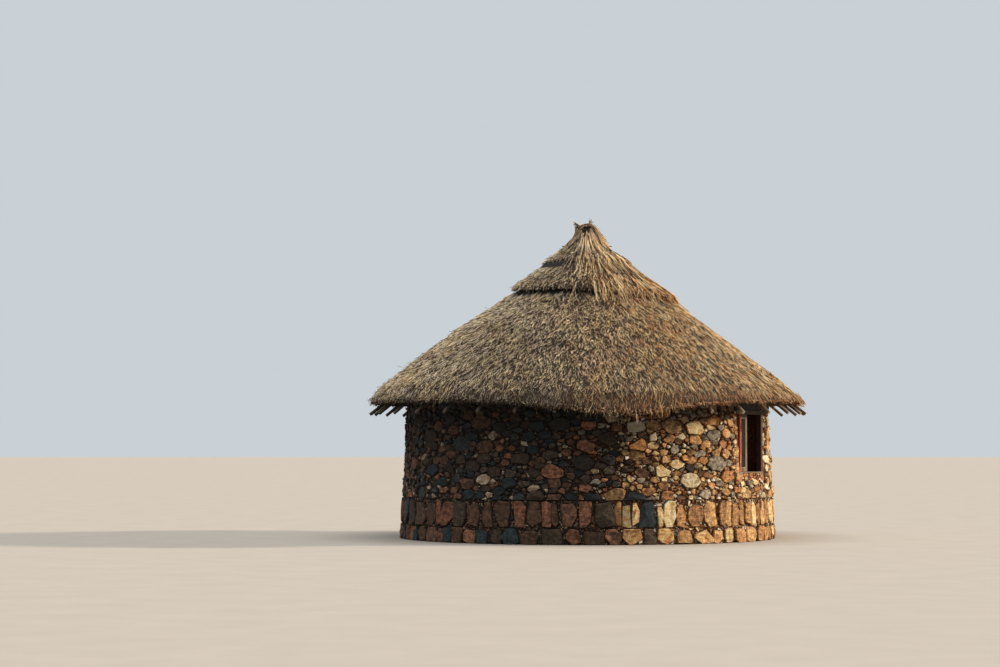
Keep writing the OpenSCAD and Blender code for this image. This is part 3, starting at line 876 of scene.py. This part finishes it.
def pole_bark(name, colours, along, cut=None):
    """Round poles cut from saplings: bark and bare wood in streaks down the pole, with stains.
    along is 0 for rafters, which run out from the axis, and 1 for hoops, which run round it.
    cut is the colour of rafters' sawn tips."""
    material, tree, shader, place = start_material(name, 0.82)
    out, angle, z = round_the_axis(tree, place)
    laid = joined(tree, out, calc(tree, "MULTIPLY", angle, 3),
                  calc(tree, "MULTIPLY_ADD", out, math.tan(SLOPE), z))
    # Streaks 15 mm wide and a third of a metre long, and stains a hand long
    streaks = streaks_in(tree, laid, 0.015, along)
    stains = noise_in(tree, laid, 7, 4)
    colour = colour_ramp(tree, mixed_number(tree, 0.5, streaks, stains),
                         dict(zip((0.38, 0.5, 0.62), colours)))
    if cut:
        fallen = calc(tree, "MULTIPLY_ADD", z, -math.sin(SLOPE),
                      calc(tree, "MULTIPLY", out, math.cos(SLOPE)))
        colour = mixed_colour(tree, calc(tree, "GREATER_THAN", fallen, TIP_DROP), colour, cut)
        # Painted shade: the poles are darker on the hut's side away from the sun
        shade_side = ranged(tree, split(tree, place)[0], -1.2, 2, 0.8, 0)
        colour = mixed_colour(tree, shade_side, colour, "#1b1510")
    return finish_material(material, shader, colour, calc(tree, "ADD", streaks, stains), 0.9, 0.008)


def dusty_glass():
    """Old thin window glass under years of dust, which takes most of its shine: brown-grey,
    see-through, with dull smears"""
    material, tree, shader, place = start_material(
        "dusty_window_glass", 0.6,
        **{"Transmission Weight": 0.5, "Specular IOR Level": 0.05, "IOR": 1.15})
    smears = noise_in(tree, place, 5, 5, distortion=0.8)
    tree.links.new(ranged(tree, smears, 0.4, 0.7, 0.5, 0.8), shader.inputs["Roughness"])
    return finish_material(material, shader,
                           colour_ramp(tree, smears, {0.4: "#45453f", 0.7: "#332d25"}))


def rusty_iron():
    """Forged hinges and nails, brown with dry rust: dull and pitted"""
    material, tree, shader, place = start_material("rusty_iron", 0.75, Metallic=0.55)
    pits = noise_in(tree, place, 120, 4, 0.7)
    rust = colour_ramp(tree, pits, {0.35: "#2c211b", 0.55: "#54372a", 0.7: "#7a4a30"})
    return finish_material(material, shader, rust, pits, 0.7, 0.0015)


def dark_rope():
    """Twisted grass rope gone dark with weather: fibres along each strand, dull"""
    material, tree, shader, place = start_material("twisted_grass_rope", 0.9)
    fibres = noise_in(tree, place, 160, 3)
    colour = colour_ramp(tree, fibres, {0.35: "#17110c", 0.5: "#33281c", 0.65: "#5a4933"})
    return finish_material(material, shader, colour, fibres, 0.8, 0.002)


def tubes(lines, width, roundness, swell=None):
    """A shape of tubes along lines of points. swell gives each point's share of the width,
    and without it the lines close into rings."""
    curve = bpy.data.curves.new("tubes", "CURVE")
    curve.dimensions = "3D"
    curve.bevel_depth = width / 2
    curve.bevel_resolution = roundness
    curve.use_fill_caps = swell is not None
    for i, line in enumerate(lines):
        spline = curve.splines.new("POLY")
        spline.points.add(len(line) - 1)
        spline.use_cyclic_u = swell is None
        for k, (point, spot) in enumerate(zip(spline.points, line)):
            point.co = (*spot, 1)
            if swell:
                point.radius = swell[i][k]
    holder = bpy.data.objects.new("tubes", curve)
    scene.collection.objects.link(holder)
    made = bpy.data.meshes.new_from_object(
        holder.evaluated_get(bpy.context.evaluated_depsgraph_get()))
    bpy.data.objects.remove(holder)
    shape = bmesh.new()
    shape.from_mesh(made)
    return shape


def stalk_lines(name, lines, width, material, slot, rng, tones=(0, 1)):
    """Single stalks and strands, each bent along a line of points and thinning to its tip.
    tones is the range that their shades are drawn from."""
    swell = []
    for line in lines:
        thick = rng.uniform(0.7, 1.3)
        swell.append([thick * (1 - 0.55 * i / (len(line) - 1)) for i in range(len(line))])
    shape = tubes(lines, width, 0, swell)
    bmesh.ops.remove_doubles(shape, verts=shape.verts[:], dist=0.00005)
    bmesh.ops.recalc_face_normals(shape, faces=shape.faces[:])
    tone = shape.verts.layers.float.new("tone")
    butt = shape.verts.layers.float.new("butt")
    for group in islands(shape):
        shade = rng.uniform(*tones)
        for v in group:
            v[tone] = shade
            v[butt] = 1
    add_piece(name, shape, material, slot, sharp=50)


def thatch_surface():
    """The CAD solids of the thatch and tuft, to lay single stalks on"""
    ground = bmesh.new()
    for node in ("crown_tuft", "crown_course", "thatch_cap", "main_thatch_front", "main_thatch_back",
                 "main_thatch_left", "main_thatch_right"):
        ground.from_mesh(cad[node].data)
    surface = BVHTree.FromBMesh(ground)
    ground.free()
    return surface


def on_surface(surface, angle, z, lift):
    """The outermost point of the thatch at a height and an angle, and lift metres proud of it"""
    way = at_angle(angle)
    hit = surface.ray_cast(way * 5 + UP * z, -way)[0]
    return (hit if hit else way * 0.15 + UP * z) + way * lift


def raked_straws(straw, surface):
    """Long straws raked down over the steps between the courses, in front and on the right"""
    rng = random.Random(31)
    lines = []
    for count, top, foot in ((560, (4.03, 4.22), (3.64, 3.89)), (360, (4.48, 4.62), (4.16, 4.36))):
        for _ in range(count):
            degrees = rng.uniform(-104, 75)
            if rng.random() > min(1, max(0.12, (degrees + 100) / 22), (80 - degrees) / 30):
                continue
            angle, drift = math.radians(degrees), rng.gauss(0, 0.07)
            start, end, lift = rng.uniform(*top), rng.uniform(*foot), rng.uniform(-0.006, 0.014)
            lines.append([on_surface(surface, angle + drift * k / 4,
                                     start + (end - start) * k / 4, lift) for k in range(5)])
    stalk_lines("raked_straws", lines, 0.009, straw, "grass_thatch", rng, tones=(-0.1, 0.85))


def crown_tuft(straw, bed_finish, surface):
    """The tuft that closes the roof: stalks tied at the neck, which fan out over the crown below
    and stand up above in a left horn, an arch and a right horn"""
    rng = random.Random(7)
    shape = bmesh.new()
    shape.from_mesh(cad["crown_tuft"].data)
    bmesh.ops.remove_doubles(shape, verts=shape.verts[:], dist=SAME_POINT)
    shape.normal_update()
    for v in shape.verts:
        if v.co.z > 4.66:
            v.co -= v.normal * (0.016 + 0.01 * noise.noise(v.co * 9))
        if v.co.z > 5:
            v.co.z = 5 + (v.co.z - 5) * 0.55
    add_piece("crown_tuft_bed", shape, bed_finish, "dark_stalks", "crown_tuft", sharp=60)

    lines = []
    for _ in range(1350):
        angle = rng.uniform(-math.pi, math.pi)
        # The longest stalks hang down the front, where the fan was combed out
        front = math.exp(-((math.degrees(angle) + 95) / 42) ** 2)
        left = max(0, -math.cos(angle))
        foot = 4.95 - rng.uniform(0.16, 0.27 + 0.3 * front + 0.06 * left)
        foot -= rng.random() ** 4 * 0.5 * front
        drift = rng.gauss(0, 0.05)
        wave = rng.uniform(0, 6.28)
        # The stalks over the knot end below it
        near = math.exp(-((angle - KNOT_ANGLE) / 0.45) ** 2)
        top = rng.uniform(4.93, 5.03) - 0.075 * near
        lift = rng.uniform(0.0, 0.016)
        line = []
        for share in (0, 0.25, 0.5, 0.75, 1):
            turn = angle + drift * share + 0.03 * math.sin(wave + 5 * share)
            turn += (KNOT_ANGLE - angle) * 0.45 * front * (1 - share) ** 2
            # The upper ends pass over the tie
            rise = lift + 0.02 * (1 - share) ** 3 + 0.008 * math.sin(wave + 3 * share)
            line.append(on_surface(surface, turn, top + (foot - top) * share, rise))
        lines.append(line)
    stalk_lines("crown_fan_stalks", lines, 0.0085, straw, "dark_stalks", rng, tones=(-0.1, 0.85))

    def bundle(count, spread, fray, *stations):
        """Stalks that run together through stations and come apart at their tips"""
        paths, ends = [], len(stations) - 1
        for _ in range(count):
            off = scatter(rng, spread, spread, spread * 0.6)
            apart = scatter(rng, fray, fray, fray)
            short = rng.uniform(0.55, 1.0)
            path = [Vector(station) + off * (1 - 0.4 * i / ends) + apart * (i / ends) ** 3
                    for i, station in enumerate(stations)]
            path[-1] = path[-2].lerp(path[-1], short)
            paths.append(path)
        return paths

    rising = []
    # Up the tuft from the neck, all round
    for _ in range(300):
        angle = rng.uniform(-math.pi, math.pi)
        if abs(angle - KNOT_ANGLE) < 0.35:
            continue
        lift = rng.uniform(0.002, 0.012)
        turn = rng.gauss(0, 0.15)
        top = rng.uniform(4.99, 5.05)
        line = [on_surface(surface, angle + turn * k / 3, 4.915 + (top - 4.915) * k / 3, lift)
                for k in range(4)]
        tip = outward(line[-1]) * rng.gauss(0.0, 0.015) + UP * rng.uniform(0.01, 0.03)
        rising.append(line + [line[-1] + tip])
    # Over the top, from the left horn's root to the right
    for _ in range(90):
        y = rng.uniform(-0.11, 0.11)
        rising.append([Vector((x, y + rng.gauss(0, 0.014), z + rng.gauss(0, 0.008)))
                       for x, z in ((-0.15, 5.02), (-0.1, 5.062), (-0.03, 5.078), (0.06, 5.07),
                                    (0.12, 5.035), (0.155, 4.98))])
    # The left horn, the arch in front and the right horn
    rising += bundle(62, 0.016, 0.016, (-0.05, -0.1, 4.96), (-0.08, -0.1, 5.01),
                     (-0.11, -0.08, 5.045), (-0.15, -0.06, 5.072), (-0.205, -0.05, 5.105))
    rising += bundle(70, 0.02, 0.02, (-0.1, -0.11, 5.01), (-0.05, -0.14, 5.055),
                     (0.02, -0.13, 5.07), (0.08, -0.13, 5.04), (0.11, -0.15, 4.97))
    rising += bundle(48, 0.016, 0.016, (0.06, -0.05, 4.97), (0.055, -0.04, 5.03),
                     (0.055, -0.02, 5.08), (0.06, 0, 5.11), (0.07, 0, 5.155))
    stalk_lines("crown_tuft_stalks", rising, 0.0095, straw, "dark_stalks", rng, tones=(-0.15, 0.95))
    # Pale straw that was laid over the right side of the neck and falls loosely
    falling = []
    for aside in (-0.18, -0.12, -0.06, 0.0, 0.06, 0.12, 0.18):
        falling += bundle(46, 0.022, 0.04, (0.0, aside * 0.4, 5.06), (0.085, aside * 0.7, 5.05),
                          (0.15, aside, 4.98), (0.195, aside * 1.2, 4.89),
                          (0.23, aside * 1.4, 4.81), (0.265, aside * 1.5, 4.74))
    stalk_lines("crown_pale_straw", falling, 0.0095, straw, "dark_stalks", rng, tones=(0.1, 1.0))


def crown_rope(material):
    """The tie round the neck: three turns of three-strand rope twisted from grass"""
    low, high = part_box("crown_rope")
    rope_r = 0.009
    middle = high.x - rope_r
    lines = []

    def lay(steps, twists, core):
        """Three strands twisted round a ring, whose core gives its middle and two cross ways"""
        for strand in range(3):
            line = []
            for k in range(steps):
                t = FULL_TURN * k / steps
                twist = twists * t + FULL_TURN * strand / 3
                centre, aside, over = core(t)
                line.append(centre + aside * (STRAND * math.cos(twist))
                            + over * (STRAND * math.sin(twist)))
            lines.append(line)

    for turn in range(3):
        z = low.z + rope_r * (1 + 2 * turn)
        lay(112, 14, lambda t: (at_angle(t, middle, z), at_angle(t), UP))
    # The knot: one loop of rope drawn tight in front
    out = at_angle(KNOT_ANGLE)
    aside = Vector((-out.y, out.x, 0))
    front = out * (middle + 0.03) + UP * (low.z + 0.005)

    def knot(t):
        a = math.sin(t) + 2 * math.sin(2 * t)
        b = math.cos(t) - 2 * math.cos(2 * t)
        return front + (aside * a + UP * b) * 0.012 + out * (math.sin(3 * t) * 0.009), aside, UP

    lay(96, 6, knot)
    shape = tubes(lines, 0.0094, 1)
    bmesh.ops.recalc_face_normals(shape, faces=shape.faces[:])
    add_piece("crown_tie", shape, material, "grass_rope", "crown_rope", sharp=60)


def eave_fringe(bed, straw):
    """Loose straws that hang from the lower edge of the eave, longest where it droops in front"""
    rng = random.Random(23)
    cut = bed.data.attributes["lip"].data
    roots = [v.co.copy() for v, edge in zip(bed.data.vertices, cut)
             if edge.value > 0.5 and height_in_coat(v.co) < 0.14 and math.hypot(v.co.x, v.co.y) > 3]
    lines = []
    for _ in range(900):
        root = rng.choice(roots) + Vector((rng.gauss(0, 0.03), rng.gauss(0, 0.03), 0.01))
        out = outward(root)
        droop = math.exp(-((math.degrees(math.atan2(root.y, root.x)) + 82) / 10) ** 2)
        if rng.random() > 0.4 + droop:
            continue
        long = rng.uniform(0.01, 0.04) + rng.random() ** 3 * (0.05 + 0.12 * droop) + 0.03 * droop
        aside = UP.cross(out) * rng.gauss(0, 0.3)
        way = (out * rng.uniform(0.2, 0.8) + aside - UP * 0.8).normalized()
        line = [root - out * 0.04 + UP * 0.03]
        for _ in range(3):
            line.append(line[-1] + way * (long + 0.04) / 3)
            way = (way - UP * 0.25).normalized()
        lines.append(line)
    stalk_lines("eave_fringe", lines, 0.01, straw, "grass_thatch", rng)


def board(shape, low, high, soft=0.003):
    """A board between two corners, with its arrises taken off"""
    made = bmesh.ops.create_cube(shape, size=1)["verts"]
    low, high = Vector(low), Vector(high)
    for v in made:
        v.co = Vector([low[i] + (high[i] - low[i]) * (v.co[i] + 0.5) for i in range(3)])
    edges = list(dict.fromkeys(e for v in made for e in v.link_edges))
    return bmesh.ops.bevel(shape, geom=edges, offset=soft, offset_type="OFFSET", segments=2,
                           profile=0.5, affect="EDGES", clamp_overlap=True, material=-1)["verts"]


def rod(shape, radius, long, centre, about="", sides=12):
    """A round bar about a centre: upright, or laid down by a quarter turn about an axis"""
    turn = Matrix.Rotation(math.pi / 2, 4, about) if about else Matrix.Identity(4)
    bmesh.ops.create_cone(shape, cap_ends=True, segments=sides, radius1=radius, radius2=radius,
                          depth=long, matrix=Matrix.Translation(centre) @ turn)


def stud(shape, radius, centre):
    """The domed head of a nail or screw"""
    bmesh.ops.create_uvsphere(shape, u_segments=8, v_segments=4, radius=radius,
                              matrix=Matrix.Translation(centre))


def door(wood, iron):
    """The ledged door, opened into the room: upright boards, strap hinges, nails, a bolt and pulls"""
    rng = random.Random(5)
    low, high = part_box("door_leaf")
    boards = bmesh.new()
    count = 6
    wide = (high.y - low.y) / count
    for i in range(count):
        board(boards, (low.x + rng.uniform(0, 0.0015), low.y + i * wide + 0.0012,
                       low.z + rng.uniform(0, 0.006)),
              (high.x - rng.uniform(0, 0.003), low.y + (i + 1) * wide - 0.0012,
               high.z - rng.uniform(0, 0.006)))
    add_piece("door_boards", boards, wood, "door_timber", "door_leaf")

    fittings = bmesh.new()
    ledge_low, ledge_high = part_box("door_ledges")
    face = ledge_low.x
    heights = [ledge_low.z + 0.055, (ledge_low.z + ledge_high.z) / 2, ledge_high.z - 0.055]
    for z in heights:
        for i in range(count):
            for rise in (-0.03, 0.03):
                y = low.y + (i + 0.5) * wide
                if ledge_low.y + 0.01 < y < ledge_high.y - 0.01:
                    stud(fittings, 0.005, (face, y + rng.gauss(0, 0.006), z + rise))
    strap_tip, knuckle = 2.13, 2.436
    for z in (heights[0], heights[2]):
        # Each strap tapers from its knuckle, over the ledge, and ends in a point
        for v in board(fittings, (face - 0.004, strap_tip, z - 0.02),
                       (face + 0.001, knuckle, z + 0.02), 0.001):
            v.co.z = z + (v.co.z - z) * (0.4 + 0.6 * (v.co.y - strap_tip) / (knuckle - strap_tip))
        rod(fittings, 0.007, 0.09, (face - 0.003, knuckle, z), sides=16)
    # A pull on each side
    pull_y, pull_z = low.y + 0.11, 1.0
    for x, side in ((high.x, 1), (low.x, -1)):
        for z in (pull_z - 0.07, pull_z + 0.07):
            board(fittings, (x - 0.004, pull_y - 0.012, z - 0.02),
                  (x + 0.004, pull_y + 0.012, z + 0.02), 0.001)
            rod(fittings, 0.006, 0.04, (x + side * 0.02, pull_y, z), "Y")
        rod(fittings, 0.007, 0.152, (x + side * 0.038, pull_y, pull_z))
    # A bolt in its two guides
    for y in (low.y + 0.03, low.y + 0.15):
        board(fittings, (high.x - 0.002, y - 0.01, 1.165), (high.x + 0.018, y + 0.01, 1.2), 0.002)
    rod(fittings, 0.006, 0.2, (high.x + 0.009, low.y + 0.105, 1.182), "X")
    bmesh.ops.recalc_face_normals(fittings, faces=fittings.faces[:])
    add_piece("door_fittings", fittings, iron, "door_timber", sharp=35)


def sash_fittings(iron, putty):
    """Two butt hinges on the room's side of the sash, and the putty round its pane"""
    low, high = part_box("window_pane")
    along = at_angle(math.radians(WINDOW_TURN + 90 + SASH_OPEN))
    out = Vector((along.y, -along.x, 0))
    foot = Vector((low.x, low.y, 0)) + out * 0.002
    turned = Matrix((along, out, UP)).transposed().to_4x4()
    wide = (Vector((high.x, high.y, 0)) - Vector((low.x, low.y, 0))).dot(along)
    bead = 0.012
    beads = bmesh.new()
    for a, b, c, d in ((0, wide, low.z, low.z + bead), (0, wide, high.z - bead, high.z),
                       (0, bead, low.z, high.z), (wide - bead, wide, low.z, high.z)):
        board(beads, (a, 0.002, c), (b, 0.013, d), 0.003)
    bmesh.ops.transform(beads, matrix=Matrix.Translation(foot) @ turned, verts=beads.verts[:])
    bmesh.ops.recalc_face_normals(beads, faces=beads.faces[:])
    add_piece("sash_putty", beads, putty, "window_glass", sharp=35)

    # The knuckles stand in the corner between the stile and the sash, each leaf on its timber
    hinges = bmesh.new()
    for z in (low.z + 0.08, high.z - 0.08):
        rod(hinges, 0.006, 0.07, (-0.375, -0.004, z))
        board(hinges, (-0.403, -0.0015, z - 0.035), (-0.375, 0.0015, z + 0.035), 0.0005)
        for rise in (-0.022, 0.022):
            stud(hinges, 0.004, (-0.392, -0.001, z + rise))
    face = Matrix.Rotation(math.radians(WINDOW_TURN + 90), 4, "Z")
    back = at_angle(math.radians(WINDOW_TURN)) * 2.8195
    bmesh.ops.transform(hinges, matrix=Matrix.Translation(back) @ face @ Matrix.Scale(-1, 4, (0, 1, 0)),
                        verts=hinges.verts[:])
    bmesh.ops.recalc_face_normals(hinges, faces=hinges.faces[:])
    add_piece("sash_hinges", hinges, iron, "bleached_wood", sharp=35)


# Shades of timber, from the dark streaks of the grain to the pale ones
GREY = ("#4d443b", "#7d7265", "#a79c8b")
# Darkened as painted shade, for the timbers in the shadow of the eave and of the window's right jamb
SHADOW_DARK = ("#1b1713", "#2f2923", "#4b4239")
# Darkened as painted eave shadow, for the rail under the eave
EAVE_SHADOW_DARK = ("#2b251f", "#453b30", "#655746")
DULL = ("#54483b", "#7f705b", "#a8977c")
PALE = ("#7d6c57", "#a8967b", "#cfc0a4")
BROWN = ("#3e2c1f", "#644a35", "#876a50")
BARK = ("#33281e", "#57473a", "#7d6b58")
BARE = ("#4a3c2e", "#776450", "#a5917a")


def finish_cad_nodes():
    """Gives every node that stays its material, and its timbers worn arrises"""
    mud = mud_bedding()
    finishes = {
        "window_pane": dusty_glass(),
        # The lintel's dark tones are painted eave shadow
        "window_lintel": timber("hewn_lintel", SHADOW_DARK, WINDOW_TURN, 1),
        # The rail's dark tones are painted eave shadow, and its pale end is partly bleached wood and
        # partly painted sunlight
        "window_head": timber("shadowed_rail_sunlit_end", EAVE_SHADOW_DARK, WINDOW_TURN, 1, bleached_and_sunlit=("#e8dcc4", -0.36)),
        "window_sill": timber("weathered_sill", GREY, WINDOW_TURN, 1),
        "window_left_stile": timber("red_oxide_stile", PALE, WINDOW_TURN, 2,
                                    paint=("#8a2c17", "#b0482c")),
        "window_sash": timber("bleached_sash", DULL, WINDOW_TURN + SASH_OPEN, 2),
        # The right stile's red oxide is darkened as painted shade, the shadow of the masonry jamb
        "window_right_stile": timber("shaded_oxide_stile", SHADOW_DARK, WINDOW_TURN, 2,
                                     paint=("#38201a", "#4b2b21")),
        "door_lintel": timber("hewn_door_lintel", GREY, DOOR_TURN, 1),
        "door_head": timber("door_rail", BROWN, DOOR_TURN, 1),
        "door_left_jamb": timber("door_upright", BROWN, DOOR_TURN, 2),
        "door_ledges": timber("door_ledge", BROWN, DOOR_TURN, 0),
        "wall_plate": pole_bark("plate_bark", BARK, 1),
        "main_rafters": pole_bark("rafter_wood", BARE, 0, cut="#cdb894"),
        "jack_rafters": pole_bark("jack_rafter_wood", BARE, 0, cut="#d3bf9b"),
        "thatch_hoops": pole_bark("hoop_bark", BARK, 1),
        "apex_block": timber("apex_timber", GREY, 0, 2),
        "crown_peg": timber("peg_bark", BARK, 0, 0, grain=0.006),
    }
    finishes["door_right_jamb"] = finishes["door_left_jamb"]
    finishes["door_threshold"] = finishes["door_head"]
    for name, node in cad.items():
        node.data.materials.clear()
        node.data.materials.append(finishes.get(name, mud))
        if name.startswith(("window_", "door_")) and name not in ("window_pane", "door_leaf"):
            # The node's loose triangles are joined before its arrises are taken off
            node.modifiers.new("joined", "WELD").merge_threshold = 0.0001
            worn = node.modifiers.new("worn", "BEVEL")
            worn.width = 0.008 if "lintel" in name else 0.004
            worn.segments = 2
            worn.limit_method = "ANGLE"
            worn.angle_limit = math.radians(40)


def to_camera(tree):
    """1 for rays that show a thing to the camera: straight, in a reflection or through glass"""
    rays = add_node(tree, "ShaderNodeLightPath").outputs
    shown = calc(tree, "MAXIMUM", rays["Is Camera Ray"], rays["Is Glossy Ray"])
    return calc(tree, "MAXIMUM", shown, rays["Is Transmission Ray"])


def studio():
    """A plain pale floor and sky, low warm sun from the right, and soft light from overhead"""
    floor_shape = bmesh.new()
    bmesh.ops.create_circle(floor_shape, cap_ends=True, segments=96, radius=260)
    mesh = bpy.data.meshes.new("floor")
    floor_shape.to_mesh(mesh)
    floor_shape.free()
    floor = bpy.data.objects.new("floor", mesh)
    scene.collection.objects.link(floor)
    material, tree, shader, place = start_material("pale_studio_floor", 0.9)
    pale = colour_ramp(tree, noise_in(tree, place, 1.5, 2), {0.3: "#b0aba3", 0.7: "#b5b0a8"})
    # It looks pale, but throws back less light
    finish_material(material, shader, mixed_colour(tree, to_camera(tree), "#464039", pale))
    mesh.materials.append(material)

    world = bpy.data.worlds.new("studio")
    scene.world = world
    world.use_nodes = True
    tree = world.node_tree
    tree.nodes.clear()
    soft = add_node(tree, "ShaderNodeBackground", {"Color": linear("#dfe6ee"), "Strength": 0.23})
    back = add_node(tree, "ShaderNodeBackground", {"Color": linear("#c9d0d6"), "Strength": 1.0})
    mix = add_node(tree, "ShaderNodeMixShader",
                   {0: to_camera(tree), 1: soft.outputs[0], 2: back.outputs[0]})
    add_node(tree, "ShaderNodeOutputWorld", {"Surface": mix.outputs[0]})

    for name, azimuth, elevation, spread, power, colour in (
            ("key", 3, 19, 5, 3.9, "#ffe9cf"),
            ("overhead", -90, 78, 68, 2.7, "#fff8f0")):
        lamp = bpy.data.lights.new(name, "SUN")
        lamp.angle = math.radians(spread)
        lamp.energy = power
        lamp.color = linear(colour)[:3]
        holder = bpy.data.objects.new(name, lamp)
        scene.collection.objects.link(holder)
        e = math.radians(elevation)
        away = at_angle(math.radians(azimuth), math.cos(e), math.sin(e))
        holder.rotation_euler = away.to_track_quat("Z", "Y").to_euler()


studio()
finish_cad_nodes()
stone = field_stone()
wall_stones(stone)
reveal_stones(stone)
roof()
iron = rusty_iron()
door(timber("door_boards_wood", BROWN, DOOR_TURN, 2), iron)
sash_fittings(iron, timber("dry_putty", ("#8d8574", "#a9a08e", "#c4bba8"), 0, 2, grain=0.03))

scene.view_settings.view_transform = "Standard"
